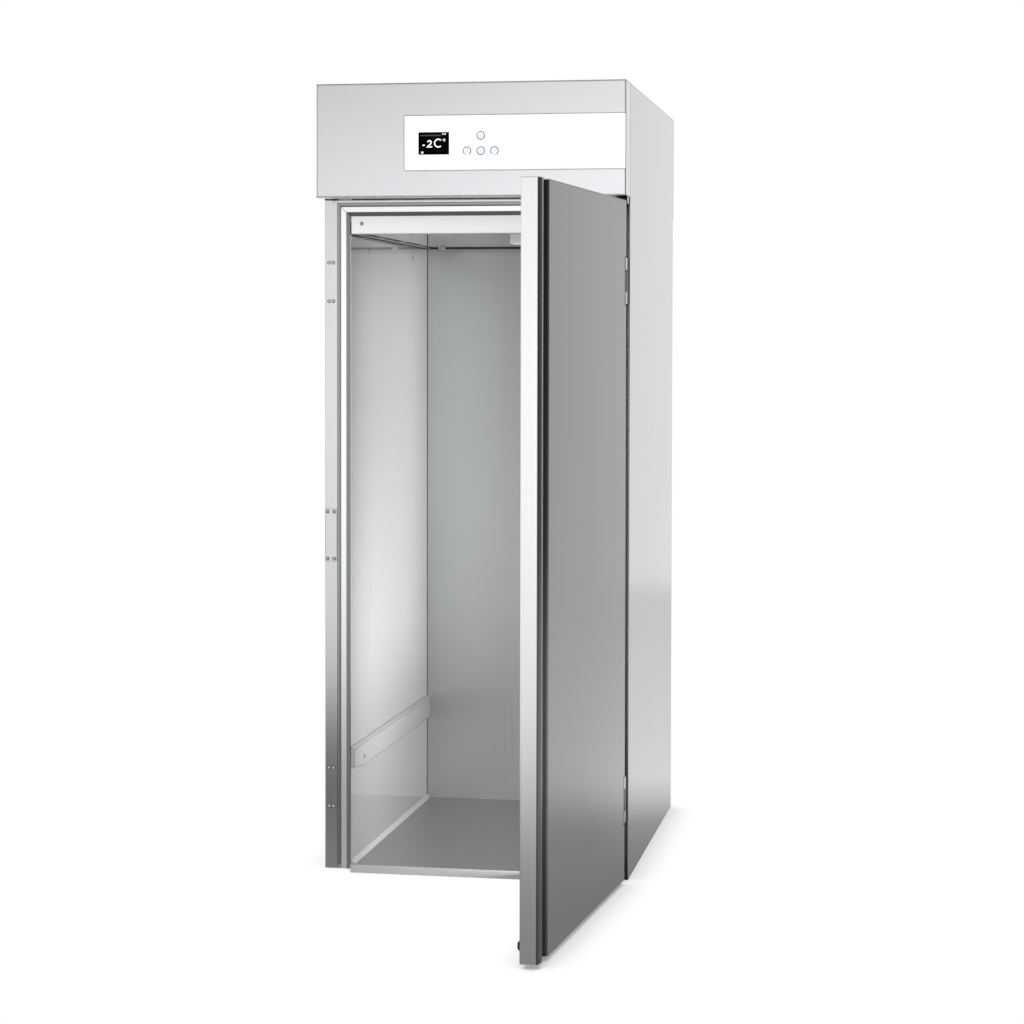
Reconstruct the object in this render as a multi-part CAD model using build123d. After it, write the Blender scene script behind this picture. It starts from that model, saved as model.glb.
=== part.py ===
from build123d import *
import os
from math import cos, sin, radians

# A roll-in refrigerator: an insulated cabinet that a trolley is wheeled into, with a full-height door
# on the right and the cooling unit on top behind a header. Millimetres, +Z up, the front faces -Y.
# The origin is on the floor, at the middle of the insulated cabinet's footprint.

# Cabinet sizes
cabinet_width = 870.0
cabinet_depth = 980.0
box_height = 1894.0
unit_height = 316.0
rear_step = 20.0
sheet = 1.0
side_wall = 75.0
rear_wall = 45.0
floor_thickness = 12.0
lintel_height = 95.0
plenum_height = 33.0
bend_radius = 2.5
joint_gap = 0.5

# Front frame
post_width = 37.0
breaker_depth = 6.0
breaker_proud = 3.5
breaker_inner_gap = 1.0
breaker_outer_flat = 6.0
breaker_slope = 5.0
breaker_crown = 14.0
breaker_inner_drop = 2.0
breaker_groove_width = 2.0
breaker_groove_depth = 2.0
breaker_below_top = 8.5
lintel_strip_inset = 24.0
lintel_strip_proud = 2.0
lintel_cover_return = 24.0
lintel_screw_inset = 31.0
lintel_screw_height = 29.0

# Entry and interior
ramp_length = 45.0
ramp_nose = 1.5
ramp_side_inset = 12.0
skirting_leg = 11.0
rail_proud = 10.0
rail_bottom = 276.0
rail_height = 62.0
rail_chamfer = 9.0
rail_front_inset = 3.0
rail_nose_length = 107.0
rail_nose_height = 13.0
rail_screw_inset = 107.0
rail_screw_height = 25.0
keyhole_front = 206.0
keyhole_rear = 735.0
keyhole_height = 18.0
keyhole_width = 6.0
keyhole_below_ceiling = 31.0
guide_sheet = 1.2
guide_side_margin = 45.0
guide_rear_slot = 117.0
guide_flange = 3.0
ledge_width = 10.0
guide_bar_width = 15.0
guide_bar_height = 10.0
guide_bars = 4
seam_from_left = 257.0
seam_width = 1.6
seam_depth = 0.5

# Interior lamp and probe
lamp_left = 80.0
lamp_width = 190.0
lamp_depth = 62.0
lamp_drop = 26.0
lamp_housing_height = 10.0
lamp_corner = 5.0
lamp_edge = 3.0
lamp_from_front = 85.0
probe_from_left_wall = 66.0
probe_width = 20.0
probe_depth = 14.0
probe_height = 9.0

# Screws, plugs and strike plate
screw_head_radius = 3.8
screw_head_height = 2.4
screw_head_round = 1.3
screw_shank_radius = 2.0
screw_shank_length = 6.0
plug_radius = 3.6
plug_dome = 1.2
plug_round = 0.8
plug_stem_radius = 2.5
plug_stem_length = 4.0
post_bar = 5.0
hole_column_outer = 12.2
hole_column_inner = 24.6
hole_row_offset = 54.5
strike_width = 34.0
strike_height = 150.0
strike_plate_sheet = 1.5
strike_corner = 6.0
strike_edge = 1.5
strike_screw_edge = 8.2
strike_screw_row = 66.5

# Door
door_hinge_reveal = 4.0
door_bottom = 12.0
door_below_top = 10.0
door_thickness = 47.0
door_gap = 12.0
door_open_angle = 84.5
door_sheet = 1.2
door_corner = 2.0
handle_width = 82.0
groove_slope = 22.0
groove_depth = 25.0
lip_width = 41.0
lip_bulge = 2.5
lip_edge = 4.0
lip_thickness = 8.0
lip_crest = 18.5
pocket_end = 15.0
pocket_round = 4.0
lip_round = 2.4
free_edge_round = 3.0
end_cap = 2.0
cap_spigot = 14.0
cap_play = 0.5
liner_edge = 16.0

# Door gasket and sweep
gasket_width = 24.0
gasket_lip_height = 3.0
gasket_magnet_width = 12.0
gasket_from_free_edge = 44.0
gasket_from_hinge_edge = 40.0
gasket_from_top = 6.0
sweep_bottom = 29.0
sweep_height = 29.0
sweep_proud = 6.5
sweep_inset = 6.0
sweep_lip = 2.5

# Hinges
hinge_from_end = 220.0
hinge_height = 128.0
hinge_ear = 34.0
knuckle_height = 58.0
knuckle_web = 9.0
hinge_plate = 4.0
hinge_plate_width = 30.0
hinge_edge = 4.0
hinge_web_back = 26.0
knuckle_radius = 7.5
pin_radius = 4.0
pin_clearance = 0.05
ear_clearance = 1.0
leaf_plate = 3.0
leaf_flange = 1.5
notch_clearance = 3.0

# Header and controls
header_overhang = 84.0
header_gap = 2.0
header_sheet = 1.2
header_back_gap = 1.5
strip_left = 252.0
strip_top = 91.5
strip_height = 149.5
strip_sheet = 3.0
strip_proud = 1.2
strip_corner = 1.5
display_left = 291.5
display_top = 136.8
display_width = 86.5
display_height = 61.8
display_sheet = 2.0
display_recess = 0.3
key_column = 467.0
key_pitch = 38.4
key_row_top = 147.3
key_row_pitch = 42.0
key_radius = 11.6
key_clearance = 0.4
key_proud = 0.8
key_collar = 1.6
key_collar_thickness = 1.5
key_round = 0.5
key_back_gap = 0.3
header_foot_width = 40.0
header_foot_inset = 60.0
header_foot_length = 30.0
header_tab_inset = 2.0
header_tab_sheet = 1.5
header_tab_drop = 21.0
header_tab_reach = 33.0
header_tab_corner = 9.0

# Cooling unit
unit_base_sheet = 1.5
top_cover_sheet = 1.2
air_cut_offset_share = 0.1725
air_cut_width_share = 0.39
air_cut_rear_gap = 5.0
air_cut_length = 320.0
case_wall = 30.0
case_height = 215.0
coil_side_gap = 10.0
coil_depth = 90.0
coil_height = 150.0
coil_lift = 6.0
coil_foot = 12.0
coil_rear_gap = 30.0
evaporator_fan_gap = 15.0
evaporator_fan_lift = 72.0
fin_pitch = 12.0
fin_sheet = 1.5
fin_proud = 4.0
compressor_radius = 92.0
compressor_height = 190.0
compressor_foot = 12.0
compressor_foot_sheet = 8.0
compressor_foot_reach = 78.0
compressor_from_front = 340.0
compressor_dome = 27.0
condenser_width_share = 0.38
condenser_depth = 60.0
condenser_height = 250.0
condenser_lift = 10.0
condenser_rear_gap = 15.0
fan_radius = 95.0
fan_hub_radius = 26.0
fan_hub_length = 26.0
fan_blades = 5
fan_blade_sheet = 2.5
fan_blade_pitch = 32.0
fan_blade_chord = 44.0
fan_tip_clearance = 5.0
shaft_radius = 4.0
shaft_clearance = 0.06
motor_radius = 34.0
motor_length = 42.0
motor_gap = 3.0
shroud_sheet = 3.0
shroud_ring = 6.0
shroud_depth = 40.0
shroud_arm = 10.0
pipe_radius = 5.0
pipe_bend = 12.0
pipe_clearance = 15.0
capillary_radius = 2.5
drier_radius = 16.0
drier_length = 110.0
drier_taper = 8.0
drier_lift = 36.0
tray_width = 300.0
tray_depth = 200.0
tray_height = 34.0
tray_wall = 2.0
box_width = 285.0
electrical_top_margin = 10.0
electrical_gap = 6.0
inlet_radius = 14.0
inlet_nut_radius = 17.0
inlet_inset = 51.0
inlet_lift = 34.0
inlet_nut = 6.5
inlet_bore = 5.0
inlet_length = 26.0
louvre_count = 14
louvre_height = 7.0
louvre_pitch = 16.0
louvre_width = 300.0
louvre_lift = 20.0
louvre_inset = 30.0

# Places worked out from the sizes
half = cabinet_width / 2
front = -cabinet_depth / 2
rear = cabinet_depth / 2
inner_x = half - side_wall
inner_back = rear - rear_wall
core_front = front + max(breaker_depth, sheet + post_bar)
cabinet_height = box_height + unit_height
opening_top = box_height - lintel_height
breaker_top_outer = box_height - breaker_below_top
ceiling = opening_top + plenum_height
box_top_inside = box_height - unit_base_sheet
header_front = front - header_overhang
header_bottom = box_height + header_gap
door_top = box_height - door_below_top
door_width = cabinet_width - door_hinge_reveal
door_edge_x = half - door_hinge_reveal
door_outer_y = front - door_gap - door_thickness
pivot_x = door_edge_x - knuckle_radius
pivot_y = door_outer_y + knuckle_radius
gasket_height = door_gap - breaker_proud - joint_gap
notch_depth = 2 * knuckle_radius + ear_clearance + leaf_plate
notch_half = hinge_height / 2 + notch_clearance
door_middle = (door_bottom + door_top) / 2
unit_rear = rear + rear_step
air_cut_middle = -cabinet_width * air_cut_offset_share
air_cut_width = cabinet_width * air_cut_width_share
cut_x0 = air_cut_middle - air_cut_width / 2
cut_x1 = air_cut_middle + air_cut_width / 2
cut_y1 = inner_back - air_cut_rear_gap
cut_y0 = cut_y1 - air_cut_length
condenser_width = cabinet_width * condenser_width_share


def block(x0, x1, y0, y1, z0, z1):
    """A box between two corners."""
    middle = ((x0 + x1) / 2, (y0 + y1) / 2, (z0 + z1) / 2)
    return Pos(*middle) * Box(x1 - x0, y1 - y0, z1 - z0)


def rod_z(x, y, z0, z1, radius):
    """An upright cylinder."""
    return Pos(x, y, (z0 + z1) / 2) * Cylinder(radius, z1 - z0)


def rod_y(x, z, y0, y1, radius):
    """A cylinder that runs from front to back."""
    return Pos(x, (y0 + y1) / 2, z) * Rot(90, 0, 0) * Cylinder(radius, y1 - y0)


def rod_x(y, z, x0, x1, radius):
    """A cylinder that runs from left to right."""
    return Pos((x0 + x1) / 2, y, z) * Rot(0, 90, 0) * Cylinder(radius, x1 - x0)


def mirrored(shape):
    """The same shape on the other side of the cabinet's middle plane."""
    return mirror(shape, about=Plane.YZ)


def upright(section, z0, z1):
    """A flat section in plan, pulled up from one height to another."""
    return Pos(0, 0, z0) * extrude(section, z1 - z0)


def angle_section(leg_x, leg_y, thickness, bend):
    """An L of folded sheet whose outer corner is at the plan's origin."""
    outline = Polyline(
        (0, 0),
        (leg_x, 0),
        (leg_x, thickness),
        (thickness, thickness),
        (thickness, leg_y),
        (0, leg_y),
        close=True,
    )
    face = make_face(outline)
    outer = face.vertices().sort_by_distance((0, 0, 0))[0]
    face = fillet(outer, bend)
    inner = face.vertices().sort_by_distance((thickness, thickness, 0))[0]
    return fillet(inner, bend - thickness)


def group(shapes):
    """Separate solids that share one node."""
    return Compound([solid for shape in shapes for solid in shape.solids()])


# Places of the holes in the posts, as distance from the cabinet's side and height
hinge_heights = [door_top - hinge_from_end, door_bottom + hinge_from_end]
hinge_holes = [
    (column, height + row)
    for height in hinge_heights
    for column in (hole_column_outer, hole_column_inner)
    for row in (hole_row_offset, -hole_row_offset)
]
strike_columns = (strike_screw_edge, strike_edge + strike_width - strike_screw_edge)
strike_holes = [
    (column, door_middle + row) for column in strike_columns for row in (strike_screw_row, -strike_screw_row)
]


def side_skin_right():
    """Side sheet, folded round the front corner to make the post's face."""
    fold = angle_section(post_width, cabinet_depth, sheet, bend_radius)
    lower = upright(Pos(half, front) * mirror(fold, about=Plane.YZ), 0, box_height)
    upper = block(half - sheet, half, front, unit_rear, box_height, cabinet_height)
    return lower + upper


def drilled(shape, holes, side, radius, y0, y1):
    """The shape with holes through its front, each given from the cabinet's side."""
    for column, height in holes:
        shape -= rod_y(side * (half - column), height, y0, y1, radius)
    return shape


def skins():
    skin = side_skin_right()
    right = drilled(skin, hinge_holes, 1, screw_shank_radius, front - sheet, front + 2 * sheet)
    left = drilled(mirrored(skin), hinge_holes, -1, plug_stem_radius, front - sheet, front + 2 * sheet)
    left = drilled(left, strike_holes, -1, screw_shank_radius, front - sheet, front + 2 * sheet)
    back = block(sheet - half, half - sheet, rear - sheet, rear, 0, box_top_inside)
    return {"side_skin_left": left, "side_skin_right": right, "rear_skin": back}


def post_bars():
    """Flat steel bars behind the post faces, which the screws bite into."""
    low, high = floor_thickness, ceiling + sheet
    inner = half - post_width
    bar = block(inner, half - bend_radius, front + sheet, front + sheet + post_bar, low, high)
    end = front + sheet + post_bar + joint_gap
    right = drilled(bar, hinge_holes, 1, screw_shank_radius, front, end)
    left = drilled(mirrored(bar), hinge_holes, -1, plug_stem_radius, front, end)
    left = drilled(left, strike_holes, -1, screw_shank_radius, front, end)
    return group([left, right])


def insulation():
    """Foam cores between the outer skins and the liners."""
    side = block(inner_x + sheet, half - sheet, core_front, rear - sheet, floor_thickness, ceiling + sheet)
    back = block(
        -inner_x - sheet, inner_x + sheet, inner_back + sheet, rear - sheet, floor_thickness, ceiling + sheet
    )
    top = block(sheet - half, half - sheet, core_front, rear - sheet, ceiling + sheet, box_top_inside)
    top -= air_cut(ceiling, box_height)
    return {"foam_left": mirrored(side), "foam_right": side, "foam_rear": back, "foam_top": top}


def air_cut(z0, z1):
    """The hole through the roof that joins the cold chamber to the evaporator."""
    return block(cut_x0, cut_x1, cut_y0, cut_y1, z0, z1)


def keyhole(distance):
    """A slot in a side liner that a rack hook drops into."""
    top = opening_top - keyhole_below_ceiling
    y = front + distance
    low = top - keyhole_height + keyhole_width / 2
    high = top - keyhole_width / 2
    cut = block(inner_x - sheet, inner_x + 2 * sheet, y - keyhole_width / 2, y + keyhole_width / 2, low, high)
    for z in (low, high):
        cut += rod_x(y, z, inner_x - sheet, inner_x + 2 * sheet, keyhole_width / 2)
    return cut


def liners():
    start = front + breaker_depth / 2
    side = block(inner_x, inner_x + sheet, start, inner_back, floor_thickness, ceiling)
    for distance in (keyhole_front, keyhole_rear):
        side -= keyhole(distance)
    back = block(-inner_x - sheet, inner_x + sheet, inner_back, inner_back + sheet, floor_thickness, ceiling)
    seam = seam_from_left - inner_x
    back -= block(seam, seam + seam_width, inner_back, inner_back + seam_depth, floor_thickness, ceiling)
    roof = block(-inner_x - sheet, inner_x + sheet, core_front, inner_back + sheet, ceiling, ceiling + sheet)
    roof -= air_cut(opening_top, box_height)
    return {"liner_left": mirrored(side), "liner_right": side, "liner_rear": back, "liner_ceiling": roof}


def lintel_strip():
    """The bright strip over the opening, under the header."""
    x = half - lintel_strip_inset
    z0 = breaker_top_outer + joint_gap
    strip = block(-x, x, front - lintel_strip_proud, front, z0, box_top_inside)
    web = half - post_width - joint_gap
    return strip + block(-web, web, front, core_front, z0, box_top_inside)


# The frame profile across its width, from the post towards the opening
breaker_width = side_wall - post_width - joint_gap - breaker_inner_gap - sheet
breaker_points = [
    (0, breaker_depth),
    (0, -joint_gap),
    (breaker_outer_flat, -joint_gap),
    (breaker_outer_flat, breaker_groove_depth - joint_gap),
    (breaker_outer_flat + breaker_groove_width, breaker_groove_depth - joint_gap),
    (breaker_outer_flat + breaker_slope, -breaker_proud),
    (breaker_outer_flat + breaker_slope + breaker_crown, -breaker_proud),
    (breaker_width, breaker_inner_drop),
    (breaker_width, breaker_depth),
]


def frame_breaker():
    """Light plastic profile round three sides of the opening, mitred at its two top corners."""
    outer_x = half - post_width - joint_gap
    corner = (outer_x, breaker_top_outer)
    reach = 2 * cabinet_height
    side_face = make_face(Polyline(*[(outer_x - u, front + v) for u, v in breaker_points], close=True))
    side = upright(side_face, floor_thickness, breaker_top_outer)
    before_floor = side & block(0, half, front - breaker_depth, front + sheet - joint_gap, 0, cabinet_height)
    foot_face = before_floor.faces().sort_by(Axis.Z)[0]
    side += extrude(foot_face, joint_gap - floor_thickness, dir=(0, 0, 1))
    top_face = Plane.YZ * make_face(
        Polyline(*[(front + v, breaker_top_outer - u) for u, v in breaker_points], close=True)
    )
    top = extrude(top_face, outer_x, both=True)
    above = Plane.XZ * make_face(
        Polyline(corner, (corner[0] - reach, corner[1] - reach), (corner[0] - reach, corner[1]), close=True)
    )
    above = extrude(above, reach, both=True)
    below = Plane.XZ * make_face(
        Polyline(corner, (corner[0] - reach, corner[1] - reach), (corner[0], corner[1] - reach), close=True)
    )
    below = extrude(below, reach, both=True)
    right = side & below
    over = top & above
    over = over & mirrored(above)
    return group([mirrored(right), over, right])


def lintel_cover():
    """Plate inside the frame that closes the plenum, with a return under it."""
    y = core_front - guide_sheet
    top = breaker_top_outer - breaker_width - joint_gap
    end = inner_x - joint_gap
    plate = block(-end, end, y, y + guide_sheet, opening_top, top)
    plate += block(-end, end, y, y + lintel_cover_return, opening_top, opening_top + guide_sheet)
    for side in (-1, 1):
        x = side * (inner_x - lintel_screw_inset)
        z = opening_top + lintel_screw_height
        plate -= rod_y(x, z, y - sheet, y + 2 * guide_sheet, screw_shank_radius)
    return plate


def tray_inside_skins(y1, z0, z1):
    """A sheet between the side skins, with its front corners rounded to fit their folds."""
    panel = block(sheet - half, half - sheet, front + sheet, y1, z0, z1)
    corners = panel.edges().filter_by(Axis.Z).group_by(Axis.Y)[0]
    return fillet(corners, bend_radius - sheet)


def floor_parts():
    base = tray_inside_skins(rear - sheet, 0, floor_thickness)
    ramp_face = Plane.YZ * make_face(
        Polyline(
            (front + sheet, 0),
            (front - ramp_length, 0),
            (front - ramp_length, ramp_nose),
            (front - sheet, floor_thickness),
            (front + sheet, floor_thickness),
            close=True,
        )
    )
    ramp_back, ramp_front = (inner_x, front + sheet), (inner_x - ramp_side_inset, front - ramp_length)
    ramp_plan = Polyline(
        ramp_back, ramp_front, (-ramp_front[0], ramp_front[1]), (-ramp_back[0], ramp_back[1]), close=True
    )
    ramp = extrude(ramp_face, inner_x, both=True) & upright(make_face(ramp_plan), 0, floor_thickness)
    leg = skirting_leg
    z = floor_thickness
    start = front + breaker_depth
    strip_line = Polyline((inner_x, z), (inner_x - leg, z), (inner_x, z + leg), close=True)
    strip_face = Plane.XZ * make_face(strip_line)
    side = Pos(0, start, 0) * extrude(strip_face, -(inner_back - joint_gap - start))
    return {"floor_panel": base, "entry_ramp": ramp, "floor_skirting": group([mirrored(side), side])}


rail_screw_y = front + rail_front_inset + rail_screw_inset


def bumper_rail():
    """Bar on the right wall that keeps the trolley off the liner, with a sloped lower nose."""
    x = inner_x
    z0, z1 = rail_bottom, rail_bottom + rail_height
    face = Plane.XZ * make_face(
        Polyline((x, z0), (x - rail_proud, z0), (x - rail_proud, z1), (x, z1 + rail_chamfer), close=True)
    )
    start = front + rail_front_inset
    rail = Pos(0, start, 0) * extrude(face, -(inner_back - joint_gap - start))
    nose = Plane.YZ * make_face(
        Polyline((start, z0), (start, z0 + rail_nose_height), (start + rail_nose_length, z0), close=True)
    )
    rail -= extrude(nose, half, both=True)
    z = z0 + rail_screw_height
    return rail - rod_x(rail_screw_y, z, x - rail_proud - sheet, x + sheet, screw_shank_radius)


def pan_screw(length):
    """A pan-head screw whose head faces -Y and whose bearing face is at the origin."""
    head = rod_y(0, 0, -screw_head_height, 0, screw_head_radius)
    rim = head.faces().sort_by(Axis.Y)[0].edges()
    head = fillet(rim, screw_head_round)
    return head + rod_y(0, 0, 0, length, screw_shank_radius)


def frame_screws():
    through = sheet + post_bar
    screws = []
    for column, height in strike_holes:
        y = front - strike_plate_sheet
        screws.append(Pos(column - half, y, height) * pan_screw(through + strike_plate_sheet))
    for column, height in hinge_holes:
        y = front - hinge_plate
        screws.append(Pos(half - column, y, height) * pan_screw(through + hinge_plate))
    z = opening_top + lintel_screw_height
    cover = Pos(0, core_front - guide_sheet, z) * pan_screw(screw_shank_length)
    for side in (-1, 1):
        screws.append(Pos(side * (inner_x - lintel_screw_inset), 0, 0) * cover)
    z = rail_bottom + rail_screw_height
    rail = Rot(0, 0, -90) * pan_screw(rail_proud)
    placed = Pos(inner_x - rail_proud, rail_screw_y, z) * rail
    return group(screws + [placed, mirrored(placed)])


def hole_plugs():
    """Caps in the holes that the hinges would use with the door hung on the left."""
    cap = rod_y(0, 0, -plug_dome, 0, plug_radius)
    cap = fillet(cap.faces().sort_by(Axis.Y)[0].edges(), plug_round)
    cap += rod_y(0, 0, 0, plug_stem_length, plug_stem_radius)
    return group([Pos(column - half, front, height) * cap for column, height in hinge_holes])


def strike_plate():
    x0 = strike_edge - half
    plate = block(x0, x0 + strike_width, front - strike_plate_sheet, front, 0, strike_height)
    plate = Pos(0, 0, door_middle - strike_height / 2) * plate
    corners = plate.edges().filter_by(Axis.Y).group_by(Axis.X)[-1]
    plate = fillet(corners, strike_corner)
    return drilled(plate, strike_holes, -1, screw_shank_radius, front - 2 * strike_plate_sheet, front + sheet)


def hinge_bracket(height):
    """Plate on the right post, with a side web and two ears that hold the hinge pin."""
    x1 = half - hinge_edge
    low, high = height - hinge_height / 2, height + hinge_height / 2
    bracket = block(x1 - hinge_plate_width, x1, front - hinge_plate, front, low, high)
    bracket += block(x1 - hinge_plate, x1, front - hinge_web_back, front, low, high)
    inner = knuckle_height / 2 + ear_clearance
    for z0 in (height - inner - hinge_ear, height + inner):
        z1 = z0 + hinge_ear
        bracket += block(x1 - hinge_plate, x1, pivot_y, front, z0, z1)
        bracket += rod_z(pivot_x, pivot_y, z0, z1, knuckle_radius)
    bracket -= rod_z(pivot_x, pivot_y, low, high, pin_radius)
    return drilled(bracket, hinge_holes, 1, screw_shank_radius, front - 2 * hinge_plate, front + sheet)


def hinge_parts():
    brackets = [hinge_bracket(height) for height in hinge_heights]
    reach = knuckle_height / 2 + ear_clearance + hinge_ear
    pins = [rod_z(pivot_x, pivot_y, z - reach, z + reach, pin_radius) for z in hinge_heights]
    return {"hinge_brackets": group(brackets), "hinge_pins": group(pins)}


def air_guide_parts():
    """False ceiling that spreads the air, with the ledges and bars that carry it."""
    x = inner_x - guide_side_margin
    y0 = core_front - guide_sheet + lintel_cover_return + joint_gap
    y1 = inner_back - guide_rear_slot
    z0 = opening_top
    z1 = z0 + guide_flange
    guide = block(-x, x, y0, y1, z0, z0 + guide_sheet)
    for x0 in (-x, x - guide_sheet):
        guide += block(x0, x0 + guide_sheet, y0, y1, z0, z1)
    guide += block(-x, x, y1 - guide_sheet, y1, z0, z1)
    ledge = block(inner_x - ledge_width, inner_x, y0, inner_back, z0, z1)
    carriers = [mirrored(ledge), ledge]
    pitch = (y1 - y0 - guide_bar_width) / (guide_bars - 1)
    for number in range(guide_bars):
        y = y0 + number * pitch
        carriers.append(block(-inner_x, inner_x, y, y + guide_bar_width, z1, z1 + guide_bar_height))
    return {"air_guide": guide, "air_guide_rails": group(carriers)}


def lamp_and_probe():
    y0 = front + lamp_from_front
    x1 = lamp_left + lamp_width
    split = opening_top - lamp_housing_height
    housing = block(lamp_left, x1, y0, y0 + lamp_depth, split, opening_top)
    housing = fillet(housing.edges().filter_by(Axis.Z), lamp_corner)
    cover = block(lamp_left, x1, y0, y0 + lamp_depth, opening_top - lamp_drop, split)
    cover = fillet(cover.edges().filter_by(Axis.Z), lamp_corner)
    cover = fillet(cover.faces().sort_by(Axis.Z)[0].edges(), lamp_edge)
    x0 = probe_from_left_wall - inner_x
    y1 = inner_back - guide_rear_slot
    probe = block(x0, x0 + probe_width, y1 - probe_depth, y1, opening_top - probe_height, opening_top)
    probe = fillet(probe.edges().filter_by(Axis.Y).group_by(Axis.Z)[0], lamp_edge)
    return {"interior_lamp": housing, "lamp_diffuser": cover, "temperature_probe": probe}


# Door section in plan: u runs from the hinge edge to the free edge, v from the outer face inwards
def door_plan(u, v):
    """A point of the closed door in the cabinet's plan."""
    return (door_edge_x - u, door_outer_y + v)


def door_outline():
    """The leaf's outline: flat face, scooped groove, curved lip, free edge, inner face."""
    end = door_width
    thick = door_thickness
    groove = end - handle_width
    slope_end = groove + groove_slope
    tip = end - lip_width
    pocket = end - pocket_end
    corners = [
        (0, 0, door_corner),
        (groove, 0, door_corner),
        (slope_end, groove_depth, pocket_round),
        (pocket, groove_depth, pocket_round),
        (pocket, lip_thickness + lip_edge, 0),
        (tip, lip_thickness, lip_round),
        (tip, lip_bulge, lip_round),
        (end, lip_edge, free_edge_round),
        (end, thick, door_corner),
        (0, thick, door_corner),
    ]
    places = [door_plan(u, v) for u, v, _ in corners]
    lip_start = places.index(door_plan(tip, lip_bulge))
    edges = []
    for number, place in enumerate(places):
        following = places[(number + 1) % len(places)]
        if number == lip_start:
            edges.append(ThreePointArc(place, door_plan(end - lip_crest, 0), following))
        else:
            edges.append(Line(place, following))
    face = make_face(Wire(edges))
    for u, v, radius in corners:
        if radius:
            x, y = door_plan(u, v)
            face = fillet(face.vertices().sort_by_distance((x, y, 0))[0], radius)
    return face


def hinge_notch(height, x1):
    """The room in the door's hinge edge for one hinge, out to x1."""
    y0 = door_outer_y - 1
    y1 = door_outer_y + door_thickness + 1
    return block(door_edge_x - notch_depth, x1, y0, y1, height - notch_half, height + notch_half)


def door_parts():
    whole = door_outline()
    core = offset(whole, -door_sheet)
    wall = whole - core
    split_u = door_width - handle_width - joint_gap * 2
    liner_u = door_width - liner_edge
    back_v = door_thickness - door_sheet

    def zone(u0, u1, v0, v1):
        x0, y0 = door_plan(u0, v0)
        x1, y1 = door_plan(u1, v1)
        return Pos((x0 + x1) / 2, (y0 + y1) / 2) * Rectangle(abs(x1 - x0), abs(y1 - y0))

    skin_zone = zone(0, split_u, -1, back_v)
    liner_zone = zone(0, liner_u, back_v, door_thickness + 1)
    low, high = door_bottom + end_cap, door_top - end_cap
    parts = {
        "door_outer_skin": upright(wall & skin_zone, low, high),
        "door_liner": upright(wall & liner_zone, low, high),
        "door_foam": upright(core, low + cap_spigot, high - cap_spigot),
    }
    for name in parts:
        for height in hinge_heights:
            parts[name] -= hinge_notch(height, half)
    parts["door_handle_profile"] = upright(wall - skin_zone - liner_zone, low, high)
    spigot = offset(core, -cap_play)
    bottom_cap = upright(whole, door_bottom, low) + upright(spigot, low, low + cap_spigot - joint_gap)
    top_cap = upright(whole, high, door_top) + upright(spigot, high - cap_spigot + joint_gap, high)
    parts["door_end_caps"] = group([bottom_cap, top_cap])
    parts.update(door_seals())
    parts["hinge_leaves"] = group([hinge_leaf(whole, height) for height in hinge_heights])
    return parts


def gasket_run(u0, u1, u_chamber0, u_chamber1, z0, z1, z_chamber0, z_chamber1):
    """One run of the magnetic gasket: a broad lip with a raised magnet chamber on it."""
    y0 = door_outer_y + door_thickness
    y1 = y0 + gasket_lip_height
    lip = block(door_edge_x - u1, door_edge_x - u0, y0, y1, z0, z1)
    x0, x1 = door_edge_x - u_chamber1, door_edge_x - u_chamber0
    return lip + block(x0, x1, y1, y0 + gasket_height, z_chamber0, z_chamber1)


def door_gasket():
    """Three runs, butted at the door's two top corners."""
    z0 = door_bottom + sweep_bottom + sweep_height + joint_gap
    z1 = door_top - gasket_from_top
    width = gasket_width
    side = (gasket_width - gasket_magnet_width) / 2
    first = gasket_from_hinge_edge
    last = door_width - gasket_from_free_edge
    runs = [
        gasket_run(u, u + width, u + side, u + width - side, z0, z1, z0, z1 - side)
        for u in (first, last - width)
    ]
    over = gasket_run(
        first + width,
        last - width,
        first + width - side,
        last - width + side,
        z1 - width,
        z1,
        z1 - width + side,
        z1 - side,
    )
    return group(runs + [over])


def door_seals():
    y0 = door_outer_y + door_thickness
    z0 = door_bottom + sweep_bottom
    z1 = z0 + sweep_height
    quarter = sweep_height / 4
    section = Plane.YZ * make_face(
        Polyline(
            (y0, z0),
            (y0 + sweep_proud, z0 + quarter),
            (y0 + sweep_proud, z1 - quarter),
            (y0, z1),
            close=True,
        )
    )
    x0, x1 = door_edge_x - door_width + sweep_inset, door_edge_x - gasket_from_hinge_edge
    sweep = Pos(x0, 0, 0) * extrude(section, x1 - x0)
    lip_x0 = -inner_x + joint_gap
    lip_x1 = min(inner_x - joint_gap, x1)
    sweep += block(lip_x0, lip_x1, y0, y0 + sweep_lip, door_bottom, z0 + sweep_lip)
    return {"door_gasket": door_gasket(), "door_sweep": sweep}


def hinge_leaf(outline, height):
    """Door's half of a hinge: a lining for the notch, a web and the knuckle round the pin."""
    lining = upright(outline, height - notch_half, height + notch_half) & hinge_notch(height, half)
    y0 = door_outer_y - 1
    y1 = door_outer_y + door_thickness + 1
    x0 = door_edge_x - notch_depth + leaf_plate
    room = notch_half - leaf_flange
    leaf = lining - block(x0, half, y0, y1, height - room, height + room)
    low, high = height - knuckle_height / 2, height + knuckle_height / 2
    middle = knuckle_web / 2
    leaf += block(x0 - leaf_plate / 2, pivot_x, pivot_y - middle, pivot_y + middle, low, high)
    leaf += rod_z(pivot_x, pivot_y, low, high, knuckle_radius)
    return leaf - rod_z(pivot_x, pivot_y, low, high, pin_radius + pin_clearance)


def opened(shape):
    """The closed door's shape, swung out about the hinge pins."""
    turn = Pos(pivot_x, pivot_y, 0) * Rot(0, 0, door_open_angle) * Pos(-pivot_x, -pivot_y, 0)
    return turn * shape


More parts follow.
